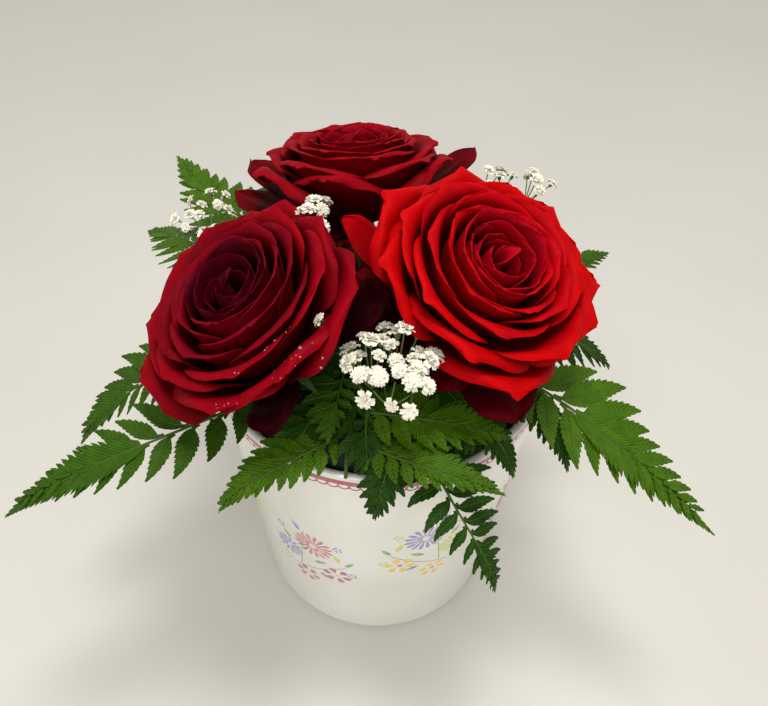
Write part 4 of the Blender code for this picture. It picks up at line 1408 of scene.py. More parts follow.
@dataclass(frozen=True)
class Frond:
    """One leatherleaf frond: a rib with toothed leaflets to either side."""

    name: str
    green: Green
    root: tuple  # x and y where it leaves the foam or the front rib
    perch: float  # height of that root above the foam's own surface
    heading: float  # compass at the root, degrees from +X
    sway: float  # change of heading along the frond, degrees
    rise: float  # elevation at the root, degrees
    settle: float  # elevation that it relaxes to, degrees
    droop: float  # further change along the length, degrees
    stipe: float  # bare length below the first leaflets
    blade: float  # length that carries leaflets
    width: float  # length of the longest leaflet
    lift: float = 0.0  # how far the leaflets' tips stand above the rib
    roll: float = 0.0  # of the blade about its own rib, degrees
    crowd: float = 0.33  # spacing of the lowest pairs, as a share of the width
    right: float = 1.0  # length of the right-hand leaflets beside the left-hand ones
    left: float = 1.0  # length of the left-hand leaflets beside the right-hand ones
    fused: float = 0.6  # share of the blade where the leaflets have run together
    web: tuple = (1.0, 1.0)  # reach of that joined blade, left and right
    splay: tuple = (60.0, 30.0)  # angle from rib to leaflets, at the bottom and at the tip
    broad: float = 0.19  # half width of a leaflet, as a share of its length
    stalk: float = 0.24  # where a leaflet's blade starts, as a share of its length
    tooth: float = 0.0021  # between two teeth of a leaflet's edge
    vein_slant: float = 1.1  # how far the side veins run ahead for each step across
    thickness: float = 0.0003
    quilting: float = 0.00016  # how far the blade swells between two side veins
    midrib: tuple = (0.00024, 0.00009)  # a leaflet's midrib, at its start and its tip
    rib: tuple = (0.00024, 0.00052)  # radius at the rib's tip, and how much more at its root
    shortest: float = 0.0035  # of the leaflets that stand apart

    def frames(self, stations: Array) -> tuple:
        """Centre, direction ahead, and direction to the right at each distance.

        Args:
            stations: distances from the root along the rib.

        Returns:
            Three arrays with one row for each station.
        """
        total = self.stipe + self.blade
        relax = 0.018  # length over which the root's slope dies away
        steps = 120
        seat = Foam.surface(math.hypot(*self.root)) + self.perch + SEAT_GAP + 0.0012
        gone = np.linspace(0.0, total, steps + 1)
        share = gone / total
        rise = self.settle + (self.rise - self.settle) * np.exp(-gone / relax)
        rise = np.radians(rise + self.droop * share * share)
        heading = np.radians(self.heading + self.sway * share)
        level = np.stack([np.cos(heading), np.sin(heading)], -1) * np.cos(rise)[:, None]
        ahead = np.concatenate([level, np.sin(rise)[:, None]], -1)
        flat = np.stack([np.sin(heading), -np.cos(heading), np.zeros_like(heading)], -1)
        roll = math.radians(self.roll)
        side = flat * math.cos(roll) + np.cross(ahead, flat) * math.sin(roll)
        centre = np.concatenate([np.zeros((1, 3)), np.cumsum(ahead[:-1] * total / steps, axis=0)])
        centre = centre + np.array([*self.root, seat])
        wanted = np.clip(stations, 0.0, total)
        middle, direction, right = (
            np.stack([np.interp(wanted, gone, column) for column in data.T], -1)
            for data in (centre, ahead, side)
        )
        direction = unit(direction)
        right = unit(right - direction * (right * direction).sum(-1, keepdims=True))
        return middle, direction, right

    def leaflet_length(self, share: float) -> float:
        """Length of a leaflet at a share of the blade, longest a fifth of the way up.

        Args:
            share: of the blade, from its first leaflets.

        Returns:
            The length there.
        """
        rising = 0.8 + 0.2 * math.sin(min(share / 0.2, 1.0) * math.pi / 2)
        falling = 1.0 - max(0.0, (share - 0.15) / 0.85) ** 1.15
        return self.width * rising * falling

    def laid(self, run: Array, across: Array, raised: Array) -> Array:
        """Lay flat places on the frond.

        Args:
            run: along the rib from its root.
            across: to the right of the rib.
            raised: off the frond's own face.

        Returns:
            The points, in the shape of run.
        """
        shape = run.shape
        middle, ahead, side = self.frames(run.ravel())
        beyond = (run.ravel() - np.clip(run.ravel(), 0.0, self.stipe + self.blade))[:, None]
        normal = np.cross(side, ahead)
        lifted = self.lift * (across.ravel() / self.width) ** 2 + raised.ravel()
        points = middle + ahead * beyond + side * across.ravel()[:, None] + normal * lifted[:, None]
        return points.reshape(*shape, 3)

    def margin(self, length: float, teeth: int) -> tuple:
        """A leaflet's edge, tooth by tooth.

        Args:
            length: of the leaflet.
            teeth: how many each side has.

        Returns:
            Shares along the middle, half widths there, how far the edge leans
            ahead there, and 1 at the top of a tooth.
        """
        first = self.stalk
        pitch = (1.0 - first) / teeth
        rows = [(step * first, lerp(0.0011, 0.0007, step), 0.0, 0.0) for step in (0.0, 0.35, 0.7)]
        for tooth in range(teeth):
            start = lerp(first, 1.0, tooth / teeth)
            for step, level, ahead in ((0.0, 0.86, 0.0), (0.45, 0.99, 0.15), (0.8, 1.05, 0.4)):
                along = start + pitch * step
                belly = (along - first) / (1.0 - first)
                swell = 0.52 + 0.48 * math.sin(min(belly / 0.35, 1.0) * math.pi / 2)
                width = self.broad * length * swell
                width *= (1.0 - max(0.0, (belly - 0.3) / 0.7) ** 1.7)
                lean = pitch * length * ahead * (1.0 - belly * 0.5)
                rows.append((along, width * level + 0.0002, lean, float(step > 0.7)))
        rows.append((1.0, TIP_HALF, 0.0, 0.0))
        return tuple(np.array(rows).T)

    def leaflet(self, blades: Shell, ribs: Shell, run: float, sign: float, length: float,
                slant: float, index: int) -> None:
        """Make one leaflet and its midrib.

        Args:
            blades: the mesh that takes the blade.
            ribs: the mesh that takes the midrib, or None where it wouldn't be seen.
            run: where it leaves the rib.
            sign: 1 for the right side of the frond and -1 for the left.
            length: from the rib to the tip.
            slant: angle between rib and leaflet, in radians.
            index: its number on the frond.
        """
        teeth = max(3, round(length * 0.8 / self.tooth))
        share, half, lean, crest = (values[:, None] for values in self.margin(length, teeth))
        soft = np.array([math.cos(slant * 0.72), math.sin(slant * 0.72)])
        start = np.array([-0.1 * length, 0.0006])
        tip = np.array([math.cos(slant), math.sin(slant)]) * length
        line = bezier(start, start + np.array([0.24 * length, 0.01 * length]),
                      tip - soft * length * 0.42, tip, share[:, 0])
        ahead = unit(np.gradient(line, axis=0))
        across = np.stack([-ahead[:, 1], ahead[:, 0]], -1)
        forward = np.abs(COLUMNS) ** 1.5
        flat = (line[:, None] + across[:, None] * half[..., None] * COLUMNS[:, None]
                + ahead[:, None] * lean[..., None] * forward[:, None])
        fold = 0.16 * half * np.abs(COLUMNS)
        quilt = self.quilting * (crest - 0.5) * (np.abs(COLUMNS) == QUILT)
        wave = chance(self.name_seed(), index, 4) - 0.5
        droop = (-0.1 + 0.1 * wave) * length * share ** 2
        twist = (chance(self.name_seed(), index, 5) - 0.5) * 0.35 * half * COLUMNS
        raised = fold + quilt + droop + twist * share
        grid = self.laid(run + flat[..., 0], sign * flat[..., 1], raised)
        if sign < 0:
            grid = grid[:, ::-1]
        wide = COLUMNS * half
        pattern = np.stack([wide, share * length - np.abs(wide) * self.vein_slant], -1)
        blades.sheet(grid, self.thickness, pattern)
        if ribs is None:
            return
        spine = self.laid(run + line[:, 0], sign * line[:, 1], droop[:, 0] + self.thickness * 0.55)
        chosen = np.linspace(0, len(spine) - 2, 9).round().astype(int)
        ribs.tube(spine[chosen], np.linspace(*self.midrib, len(chosen)), 4)

    def name_seed(self) -> int:
        """A number of its own for the frond's small chances."""
        return sum(ord(letter) for letter in self.name) % 97

    def top_blade(self, blades: Shell, start: float) -> None:
        """Make the toothed end of the frond, where leaflets have run together.

        Args:
            blades: the mesh that takes it.
            start: where along the rib it starts.
        """
        length = self.stipe + self.blade - start
        teeth = max(5, round(length / (self.tooth * 1.25)))
        rows = [(0.0, 0.0006, 0.0)]
        for tooth in range(teeth):
            for step, level, ahead in ((0.1, 0.62, 0.0), (0.5, 0.95, 0.5), (0.8, 1.1, 1.1)):
                along = (tooth + step) / teeth
                reach = self.leaflet_length((start - self.stipe + along * length) / self.blade) * 0.74
                grow = min(1.0, 0.25 + along * 2.2)
                lean = length / teeth * ahead * (1.0 - 0.5 * along)
                rows.append((along, reach * level * grow + 0.0003, lean))
        rows.append((1.0, TIP_HALF, 0.0))
        share, half, lean = np.array(rows).T[..., None]
        run = start + share * length + lean * np.abs(COLUMNS) ** 1.3
        across = half * COLUMNS
        left, right = self.left * self.web[0], self.right * self.web[1]
        across = np.where(across > 0.0, across * right, across * left)
        raised = 0.12 * np.abs(across) - 0.04 * length * share ** 2
        pattern = np.stack([across, run - np.abs(across) * self.vein_slant], -1)
        blades.sheet(self.laid(run, across, raised), self.thickness, pattern)

    def build(self, ribs: Shell) -> None:
        """Make the frond's blades as one piece and add its rib to the ribs.

        Args:
            ribs: the mesh that takes every frond's rib.
        """
        blades = Shell()
        self.add(blades, ribs)
        blades.piece(self.name + "_leaflets", self.green.value, "fern", (self.name,), 40.0)

    def add(self, blades: Shell, ribs: Shell, midribs: bool = True) -> None:
        """Add the frond's leaflets to one mesh and its ribs to another.

        Args:
            blades: the mesh that takes the leaflets.
            ribs: the mesh that takes the ribs.
            midribs: whether each leaflet has one too.
        """
        total = self.stipe + self.blade
        spacing = self.width * self.crowd
        pairs = max(5, round(self.blade / spacing))
        index = 0
        for pair in range(pairs):
            share = 0.88 * (1.0 - (1.0 - pair / pairs) ** 1.35)
            length = self.leaflet_length(share)
            if length < self.shortest:
                break
            slant = math.radians(lerp(*self.splay, share))
            for sign in (1.0, -1.0):
                index += 1
                offset = spacing * (0.18 * sign + 0.1 * (chance(self.name_seed(), index, 1) - 0.5))
                longer = length * lerp(0.95, 1.05, chance(self.name_seed(), index, 2))
                longer *= self.right if sign > 0 else self.left
                tilt = slant * lerp(0.94, 1.06, chance(self.name_seed(), index, 3))
                run = self.stipe + 0.003 + share * self.blade + offset
                self.leaflet(blades, ribs if midribs else None, run, sign, longer, tilt, index)
        self.top_blade(blades, self.stipe + self.blade * self.fused)
        stations = np.linspace(-0.0022, total * 0.985, 35)
        joined = np.clip(stations / self.blade - self.stipe / self.blade - self.fused, 0.0, 1.0)
        sag = 0.04 * self.blade * joined ** 2 / (1.0 - self.fused)
        path = self.laid(stations, np.zeros_like(stations), 0.0001 - sag)
        taper = 1.0 - np.clip(stations / total, 0.0, 1.0) ** 1.2
        ribs.tube(path, self.rib[0] + self.rib[1] * taper ** 1.5, 8)


@dataclass(frozen=True)
class Undergrowth:
    """Short fronds laid over the foam, so that none of it shows between the roses."""

    name: str = "undergrowth"
    tiers: tuple = (  # root radius, rise at the root and on, blade, width and how many
        (0.014, 26.0, 12.0, 0.036, 0.02, 6),
        (0.027, 16.0, 0.0, 0.038, 0.02, 9),
        (0.041, 6.0, -7.0, 0.032, 0.018, 13),
        (0.052, 0.0, -5.0, 0.022, 0.016, 15),
    )

    def fronds(self) -> list:
        """Set out four short fronds over the lip, and rings of them round the pot's middle.

        Returns:
            The fronds.
        """
        laid = [
            Frond("lip_front", Green.DARK, (0.0095, -0.056), 0.002, -104.0, -10.0, 4.0, -14.0, -64.0,
                  0.01, 0.033, 0.014, fused=0.1),
            Frond("lip_right", Green.DARK, (0.033, -0.046), 0.003, -54.0, 6.0, 6.0, -4.0, -70.0,
                  0.008, 0.031, 0.0095, fused=0.3),
            Frond("lip_far", Green.DARK, (0.05, -0.03), 0.002, -44.0, -16.0, 6.0, -6.0, -62.0,
                  0.008, 0.043, 0.012, fused=0.3),
            Frond("lip_left", Green.DARK, (-0.046, -0.03), 0.003, -148.0, -12.0, 6.0, -4.0, -66.0,
                  0.008, 0.034, 0.018, fused=0.45),
        ]
        for tier, (out, rise, settle, blade, width, count) in enumerate(self.tiers):
            for place in range(count):
                index = len(laid)
                heading = 360.0 / count * (place + 0.4 * tier) + 16.0 * (chance(3, index, 1) - 0.5)
                root = tuple(polar(out, math.radians(heading)))
                laid.append(Frond(
                    f"{self.name}_{index}", Green.DARK, root, 0.002 * chance(3, index, 2),
                    heading, 30.0 * (chance(3, index, 3) - 0.5), rise, settle, -20.0, 0.003,
                    blade * lerp(0.9, 1.1, chance(3, index, 4)), width, 0.002,
                    24.0 * (chance(3, index, 5) - 0.5), tooth=0.0033, fused=0.45,
                ))
        return laid

    def build(self, ribs: Shell) -> None:
        """Make them all as one piece.

        Args:
            ribs: the mesh that takes every frond's rib.
        """
        blades = Shell()
        for frond in self.fronds():
            frond.add(blades, ribs, False)
        # the undergrowth takes the darkest green, painted shade for where it lies under the roses
        blades.piece("fern_undergrowth", Green.DARK.value, "fern", (), 40.0)


@dataclass(frozen=True)
class FrontRib:
    """The rib over the pot's lip that carries the four front fronds."""

    radius: float = 0.0009
    path: tuple = (
        (-0.0125, -0.046, 0.1737),
        (-0.0122, -0.062, 0.1725),
        (-0.0122, -0.0705, 0.169),
        (-0.0125, -0.0765, 0.1632),
    )

    def build(self) -> None:
        """Make the rib as one smooth tube."""
        a, b, c, d = np.array(self.path)
        outward = c + np.array([0.0, -0.002, 0.0015])
        path = bezier(a, b + (b - a) * 0.25, outward, d, np.linspace(0.0, 1.0, 22))
        shell = Shell()
        shell.tube(path, np.linspace(self.radius, self.radius * 0.8, len(path)), 14)
        shell.piece("front_rib_stalk", RIB, "fern", ("front_rib",))


# ---- sprays

@dataclass(frozen=True)
class Spray:
    """A spray of baby's breath: one stem that forks inside an ellipsoid crown."""

    name: str
    root: tuple
    crown: tuple  # centre of the crown
    spread: tuple  # half sizes of the crown along X, Y and Z
    florets: int
    seed: int
    main_radii: tuple = (0.00062, 0.00048)  # of the stem, the boughs and the twigs
    bough_radii: tuple = (0.00042, 0.00034)
    twig_radii: tuple = (0.0003, 0.00026)
    floret_radius: float = 0.003
    finer: float = 1.7  # florets for each one that the solids have

    def paths(self) -> tuple:
        """Twig paths and floret centres, by the spray's seeded rule.

        Returns:
            Path and end radii of each twig, and middle and direction of each floret.
        """
        up = np.array([0.0, 0.0, 1.0])
        root = np.array([*self.root, FOAM_TOP + SEAT_GAP])
        crown, spread = np.array(self.crown), np.array(self.spread)
        fork = crown - up * spread[2] * 1.3  # below the crown, where the stem divides
        t = np.linspace(0.0, 1.0, 12)
        main = bezier(root, root + up * 0.009, fork - up * 0.004, fork, t)
        twigs = [(main, *self.main_radii)]
        heads = []
        joints = []
        boughs = max(3, self.florets // 4)

        def inside(share: float, angle: float, height: float) -> Array:
            """A point of the crown, in shares of its half sizes."""
            return crown + spread * np.array([share * math.cos(angle), share * math.sin(angle), height])

        for bough in range(boughs):
            share = math.sqrt((bough + 0.5) / boughs) * 0.55
            low = 0.35 + 0.3 * chance(self.seed, bough, 1)
            joint = inside(share, bough * GOLDEN_ANGLE + self.seed, -low)
            joints.append(joint)
            middle = (fork + joint) / 2.0 - up * 0.0012
            twigs.append((bezier(fork, middle, middle, joint, t[::2]), *self.bough_radii))
        count = round(self.florets * self.finer)
        for floret in range(count):
            share = math.sqrt((floret + 0.5) / count)
            height = math.sqrt(max(0.0, 1.0 - share * share))
            height *= 0.15 + 0.85 * chance(self.seed, floret, 2)
            head = inside(share, floret * GOLDEN_ANGLE + 0.7 * self.seed, height)
            joint = min(joints, key=lambda point: np.linalg.norm(point - head))
            middle = lerp(joint, head, 0.55) - up * 0.001
            twigs.append((bezier(joint, middle, middle, head, t[::2]), *self.twig_radii))
            heads.append((head, unit(head - joint)))
        return twigs, heads

    def build(self) -> None:
        """Make the twigs and the florets, each kind as one piece."""
        twigs, heads = self.paths()
        stalks = Shell()
        for path, first, last in twigs:
            stalks.tube(path, np.linspace(first, last, len(path)), 6)
        flowers = Shell()
        for index, (head, up) in enumerate(heads):
            size = self.floret_radius * lerp(0.72, 1.1, chance(self.seed, index, 6))
            Floret(head, up, size, self.seed * 40 + index).build(flowers, stalks)
        stalks.piece(self.name + "_twigs", TWIG, "floret")
        flowers.piece(self.name + "_florets", FLORET, "floret", (self.name,), 60.0)


@dataclass(frozen=True)
class Floret:
    """One double floret: rings of small notched petals over a green cup."""

    head: Array  # its middle
    up: Array  # the way that it faces
    size: float  # its radius
    seed: int  # its own number for small chances
    rings: tuple = (  # petals, their rise in degrees, and their reach and width
        (9, 8.0, 1.00, 0.62),
        (8, 34.0, 0.95, 0.56),
        (6, 58.0, 0.86, 0.48),
        (4, 78.0, 0.74, 0.38),
    )
    outline: tuple = ((0.0, 0.18), (0.45, 0.62), (0.8, 0.8), (1.0, 0.62))  # along, half width
    thickness: float = 0.00014

    def build(self, flowers: Shell, stalks: Shell) -> None:
        """Add the petals to one mesh and the cup to another.

        Args:
            flowers: the mesh that takes the petals.
            stalks: the mesh that takes the cup.
        """
        seed, size = self.seed, self.size
        nod = np.array([chance(seed, 1, channel) for channel in (1, 2, 3)]) - 0.5
        up = unit(self.up + 0.5 * nod)
        helper = np.array([1.0, 0.0, 0.0]) if abs(up[0]) < 0.8 else np.array([0.0, 1.0, 0.0])
        east = unit(np.cross(helper, up))
        north = np.cross(up, east)
        base = self.head - up * size * 0.55
        t, broad = np.array(self.outline).T
        side = np.array([-1.0, 0.0, 1.0])
        number = 0
        for count, rise, reach, wide in self.rings:
            for petal in range(count):
                number += 1
                turn = math.tau * (petal + 0.37 * number % 1.0) / count
                turn += 0.25 * chance(seed, number, 4)
                tilt = math.radians(rise + 18.0 * (chance(seed, number, 5) - 0.5))
                outward = east * math.cos(turn) + north * math.sin(turn)
                across = np.cross(up, outward)
                ahead = outward * math.cos(tilt) + up * math.sin(tilt)
                above = up * math.cos(tilt) - outward * math.sin(tilt)
                half = (size * wide * broad * 0.62)[:, None] * side
                length = size * reach * 1.12
                notch = length * 0.14 * (1.0 - np.abs(side)) * (t == 1.0)[:, None]
                run = (t * length)[:, None] - notch
                curve = size * (0.3 * np.sin(t * 2.2) - 0.34 * t ** 2)
                raised = (curve[:, None] + size * 0.16 * np.abs(side) * t[:, None])[..., None]
                grid = base + ahead * run[..., None] + across * half[..., None] + above * raised
                flowers.sheet(grid, self.thickness, np.stack([half, run], -1))
        cup = np.stack([base - up * size * 0.5, base - up * size * 0.1, base + up * size * 0.12])
        stalks.tube(cup, np.array([0.16, 0.34, 0.3]) * size, 8)


@dataclass(frozen=True)
class Fallen:
    """Loose things that lie on a bloom: shed florets and beads of sprayed water."""

    bloom: str  # the piece that they lie on
    florets: tuple = ()  # points above the petals where a floret came down
    beads: tuple = ()  # middle of a wet patch, its radius and how many beads
    bead: float = 0.00055  # radius of the largest bead
    floret: float = 0.0026  # radius of a shed floret
    floret_seat: float = 0.0022  # of its middle above the petal
    steepest: float = 0.2  # least upward share of a slope where a bead stays

    def build(self, flowers: Shell, stalks: Shell, water: Shell) -> None:
        """Add the florets and the beads to the meshes of their kind.

        Args:
            flowers: the mesh that takes the florets' petals.
            stalks: the mesh that takes their cups.
            water: the mesh that takes the beads.
        """
        bloom = bpy.data.objects[self.bloom]
        tree = BVHTree.FromObject(bloom, bpy.context.evaluated_depsgraph_get())
        down = Vector((0.0, 0.0, -1.0))
        for index, above in enumerate(self.florets):
            spot, normal, _, _ = tree.ray_cast(Vector(above), down)
            if spot is not None:
                up = np.array(normal)
                head = np.array(spot) + up * self.floret_seat
                Floret(head, up, self.floret, 900 + index).build(flowers, stalks)
        for middle, reach, count in self.beads:
            for index in range(count):
                angle = math.tau * chance(count, index, 1)
                out = reach * chance(count, index, 2) ** 0.5
                above = Vector(middle) + Vector((out * math.cos(angle), out * math.sin(angle), 0.0))
                spot, normal, _, _ = tree.ray_cast(above, down)
                if spot is not None and normal.z > self.steepest:
                    size = self.bead * lerp(0.35, 1.0, chance(index, 3, 8) ** 2)
                    self.add_bead(water, spot, normal, size)

    def add_bead(self, water: Shell, spot: Vector, normal: Vector, size: float) -> None:
        """Add one flattened bead that clings to the petal.

        Args:
            water: the mesh that takes it.
            spot: where it clings.
            normal: the petal's slope there.
            size: its radius.
        """
        profile = [(0.0, -0.4 * size)]
        for step in range(1, 5):
            turn = math.pi * (0.18 + 0.82 * step / 5)
            profile.append((size * math.sin(turn), -size * 0.7 * math.cos(turn) * 0.8))
        profile.append((0.0, 0.62 * size))
        place = Matrix.Translation(spot) @ normal.to_track_quat("Z", "Y").to_matrix().to_4x4()
        water.turned(profile, 8, place)


# ---- the stage

@dataclass(frozen=True)
class Studio:
    """Camera, table and soft light."""

    eye: tuple = (0.0, -0.2396, 0.4019)
    pitch: float = 46.0  # degrees below the level
    yaw: float = 0.31
    tilt: float = 1.67
    lens: float = 740.0 / 768.0 * 36.0
    lamps: tuple = (  # name, place, size, watts and colour
        ("key_lamp", (0.03, -0.02, 0.85), 0.16, 2.4, "#fffdf8"),
        ("room_lamp", (0.3, 0.3, 2.00), 0.8, 7.0, "#fffdf8"),
        ("fill_lamp", (-0.25, -1.2, 0.8), 0.9, 6.0, "#fbfaff"),
        ("ceiling_lamp", (-0.3, -0.62, 1.15), 0.16, 1.2, "#ffffff"),
    )

    def camera(self) -> None:
        """Stand the camera in front of the arrangement, looking down at it."""
        pitch, yaw, tilt = (math.radians(angle) for angle in (self.pitch, self.yaw, self.tilt))
        level = math.cos(pitch)
        ahead = Vector((math.sin(yaw) * level, math.cos(yaw) * level, -math.sin(pitch)))
        right = Vector((math.cos(yaw), -math.sin(yaw), 0.0))
        up = right.cross(ahead)
        turned_right = right * math.cos(tilt) + up * math.sin(tilt)
        turned_up = up * math.cos(tilt) - right * math.sin(tilt)
        data = bpy.data.cameras.new("camera")
        data.sensor_width = 36.0
        data.lens = self.lens
        data.clip_start = 0.01
        camera = shown("camera", data)
        turn = Matrix((turned_right, turned_up, -ahead)).transposed().to_4x4()
        camera.matrix_world = Matrix.Translation(self.eye) @ turn
        bpy.context.scene.camera = camera

    def table(self) -> None:
        """Lay the plain pale top that the pot stands on."""
        reach = 3.0
        mesh = bpy.data.meshes.new("table")
        corners = [(x * reach, y * reach, 0.0) for x, y in ((-1, -1), (1, -1), (1, 1), (-1, 1))]
        mesh.from_pydata(corners, [], [(0, 1, 2, 3)])
        mesh.materials.append(FLOOR.material())
        table = shown("table", mesh)

    def lamp(self, name: str, spot: tuple, size: float, watts: float, colour: str) -> None:
        """Hang one square soft lamp that points at the bouquet.

        Args:
            name: the lamp's name.
            spot: where it hangs.
            size: its side.
            watts: its power.
            colour: sRGB hex.
        """
        data = bpy.data.lights.new(name, "AREA")
        data.size = size
        data.energy = watts
        data.color = linear(colour)[:3]
        turn = (Vector((0.0, 0.0, 0.12)) - Vector(spot)).to_track_quat("-Z", "Y")
        shown(name, data).matrix_world = Matrix.Translation(spot) @ turn.to_matrix().to_4x4()

    def build(self) -> None:
        """Set up all of it."""
        self.camera()
        self.table()
        for lamp in self.lamps:
            self.lamp(*lamp)
        world = bpy.data.worlds.new("studio_air")
        world.use_nodes = True
        background = world.node_tree.nodes["Background"]
        background.inputs["Color"].default_value = linear("#f6f5f1")
        background.inputs["Strength"].default_value = 0.67
        bpy.context.scene.world = world
        bpy.context.scene.view_settings.view_transform = "Standard"


# ---- the whole

ROSES = (
    Rose("rose_right", Bloom.SCARLET, (0.0302, -0.0148, 0.1972), 27, -42, 10,
         0.0465, 0.04, 0.026, 3, (0.022, -0.006),
         (Guard(-73, 0.045, 0.006, 0.032, 50), Guard(-113, 0.034, 0.005, 0.026, 50),
          # the guard at 151 degrees takes the middle tier's slightly darker red, painted shade for its
          # shaded inside
          Guard(151, 0.052, 0.01, 0.018, 30, Tier.MIDDLE), Guard(170, 0.038, 0.004, 0.032, 40),
          Guard(-166, 0.036, 0, 0.028, 45)),
         fuller=((-55, 0.005, 30), (122, 0.004, 25))),
    Rose("rose_left", Bloom.MAROON, (-0.042, -0.0352, 0.1928), 31, -157, 65,
         0.0475, 0.039, 0.0225, 5, (-0.031, -0.023),
         (Guard(-150, 0.031, 0.003, 0.023, 60), Guard(-58, 0.043, 0, 0.026, 50)),
         (0.005, 0.0045), ((-48, 0.0065, 38), (108, 0.003, 25), (-118, -0.0045, 24)), 0.5),
    Rose("rose_back", Bloom.CRIMSON, (-0.012, 0.041, 0.198), 18, 100, 75,
         0.0408, 0.035, 0.027, 8, (-0.006, 0.022),
         (Guard(-52, 0.056, 0.025, 0.022, 15), Guard(80, 0.053, 0.022, 0.026, 15),
          Guard(98, 0.053, 0.012, 0.03, 20), Guard(150, 0.046, 0.01, 0.04, 30),
          Guard(190, 0.044, 0.006, 0.04, 30)),
         fuller=((-130, 0.006, 35), (20, 0.003, 30))),
)

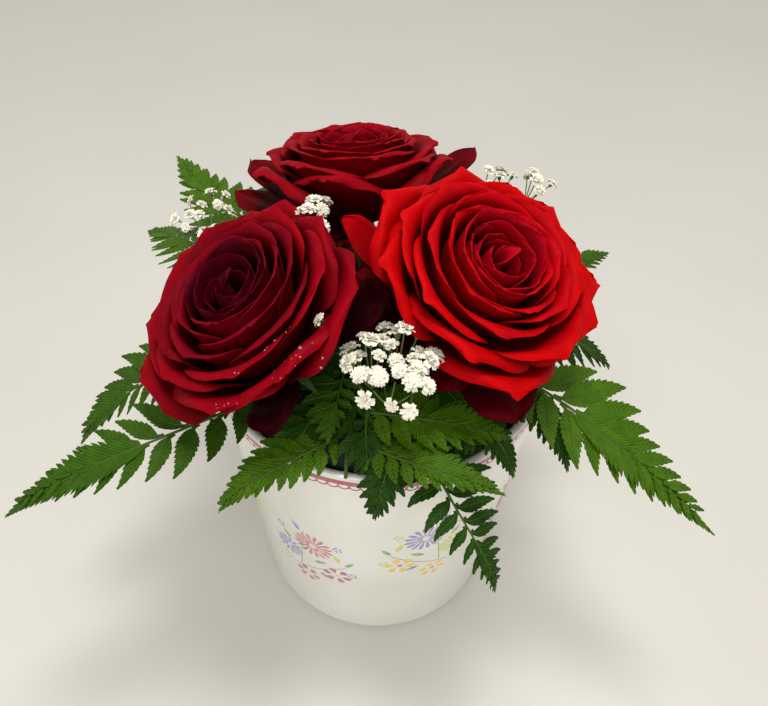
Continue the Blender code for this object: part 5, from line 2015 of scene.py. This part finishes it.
FRONDS = (
    Frond("frond_right", Green.FRESH, (0.048, -0.026), 0, -27, -14, 15, -23, 6,
          0.008, 0.102, 0.033, 0.007, crowd=0.27, right=0.86, broad=0.18, fused=0.3, web=(0.35, 1)),
    Frond("frond_left", Green.MID, (-0.046, -0.038), 0, -138, -28, 5, 7, -43,
          0.012, 0.103, 0.026, 0.005, crowd=0.37, fused=0.42, broad=0.165),
    Frond("frond_left_low", Green.MID, (-0.054, -0.022), 0, -187, 43, 5, -18, -30,
          0.012, 0.082, 0.028, 0.003, crowd=0.27, right=1.2, left=0.75, broad=0.15),
    Frond("frond_front_left", Green.FRESH, (-0.0148, -0.0625), 0.006, -139, -13, 5, 14, -57,
          0.002, 0.054, 0.021, crowd=0.24, left=0.68, fused=0.42, broad=0.2),
    Frond("frond_front_up", Green.MID, (-0.013, -0.022), 0.004, -96, -2, 15, 5, -20,
          0.012, 0.038, 0.016, crowd=0.34, right=1.15, left=0.6, broad=0.25, fused=0.6,
          splay=(75, 50)),
    Frond("frond_front_upper", Green.FRESH, (-0.0103, -0.052), 0.001, -13, 7, 10, 4, -18,
          0.006, 0.057, 0.025, 0.003, crowd=0.24, right=0.78, fused=0.42, broad=0.2),
    Frond("frond_front_right", Green.FRESH, (-0.0097, -0.064), 0.006, -35, 25, 5, 11, -26,
          0.002, 0.06, 0.022, crowd=0.23, right=0.6, fused=0.4, broad=0.2, web=(1, 0.8)),
    Frond("frond_front_low", Green.DARK, (0.015, -0.056), 0, -75, 48, 0, -20, -61,
          0.008, 0.071, 0.028, crowd=0.22, right=0.62, left=0.85, broad=0.155, web=(0.7, 0.9),
          splay=(85, 50)),
    Frond("frond_back_left", Green.FRESH, (-0.034, 0.026), 0, 143, -14, 55, -7, 27,
          0.034, 0.073, 0.027, crowd=0.27),
    Frond("frond_left_back", Green.FRESH, (-0.048, 0.008), 0, 135, 0, 40, -14, -10,
          0.04, 0.081, 0.026, crowd=0.28),
    Frond("frond_right_back", Green.MID, (0.044, 0.012), 0, 16, 18, 55, 0, -14, 0.026, 0.048, 0.015),
    Frond("frond_back", Green.MID, (0.004, 0.046), 0, 88, 4, 50, -12, -30, 0.03, 0.085, 0.028),
    Frond("frond_back_right", Green.FRESH, (0.034, 0.034), 0, 52, 5, 50, -12, -30, 0.026, 0.08, 0.026),
    Frond("frond_back_far", Green.DARK, (-0.026, 0.04), 0, 118, 4, 50, -10, -28, 0.028, 0.078, 0.026),
    Frond("frond_right_side", Green.DARK, (0.052, -0.002), 0, -2, -6, 15, -20, -25,
          0.006, 0.052, 0.021),
    Frond("frond_right_rear", Green.MID, (0.046, 0.022), 0, 24, 8, 15, -14, -30, 0.008, 0.06, 0.022),
    Frond("frond_left_side", Green.DARK, (-0.054, 0.002), 0, 166, 4, 5, -20, -25, 0.006, 0.056, 0.018),
    Frond("frond_left_rear", Green.MID, (-0.04, 0.034), 0, 134, -8, 15, -22, -25, 0.008, 0.055, 0.021),
    Frond("frond_inner_right", Green.DARK, (0.036, 0.006), 0, 20, 10, 65, 25, -20, 0.008, 0.036, 0.016),
    Frond("frond_inner_back", Green.DARK, (0.014, 0.034), 0, 66, 10, 65, 25, -20, 0.008, 0.04, 0.017),
)

SPRAYS = (
    Spray("spray_front", (0.001, -0.038), (0.0035, -0.061, 0.208), (0.018, 0.022, 0.015), 14, 1,
          floret_radius=0.0036, finer=2.1),
    Spray("spray_middle", (-0.006, -0.004), (-0.0275, 0.001, 0.23), (0.006, 0.015, 0.008), 5, 2,
          finer=1.6),
    Spray("spray_left", (-0.044, 0.016), (-0.082, 0.04, 0.199), (0.015, 0.02, 0.009), 9, 3, finer=1.4),
    Spray("spray_right", (0.03, 0.024), (0.0575, 0.06, 0.204), (0.025, 0.014, 0.013), 9, 4,
          finer=1.8),
    Spray("spray_back", (-0.004, 0.049), (-0.02, 0.094, 0.194), (0.018, 0.012, 0.01), 8, 5),
)

FALLEN = (
    Fallen("rose_left_outer_petals", ((-0.0205, -0.053, 0.3),),
           (((-0.029, -0.07, 0.3), 0.01, 46), ((-0.05, -0.082, 0.3), 0.009, 20))),
    Fallen("rose_right_outer_petals", ((0.0291, -0.0443, 0.3),)),
)


def scatter() -> None:
    """Lay the shed florets and the water on the blooms."""
    flowers = Shell()
    stalks = Shell()
    water = Shell()
    for fallen in FALLEN:
        fallen.build(flowers, stalks, water)
    flowers.piece("shed_florets", FLORET, "floret", (), 60.0)
    stalks.piece("shed_floret_cups", TWIG, "floret")
    water.piece("water_beads", DEW, "petal_deep")


def main() -> None:
    """Build every part in order."""
    logging.basicConfig(level=logging.INFO, format="%(name)s %(message)s")
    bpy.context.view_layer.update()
    pot = Pot()
    brush = Brush(pot)
    pot.build()
    Border(brush).build()
    PaintedFlowers(brush).build()
    Foam(pot).build()
    for rose in ROSES:
        rose.build()
    ribs = Shell()
    for frond in FRONDS:
        frond.build(ribs)
    Undergrowth().build(ribs)
    ribs.piece("fern_ribs", RIB, "fern")
    FrontRib().build()
    for spray in SPRAYS:
        spray.build()
    scatter()
    Studio().build()
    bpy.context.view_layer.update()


if __name__ == "__main__":
    main()
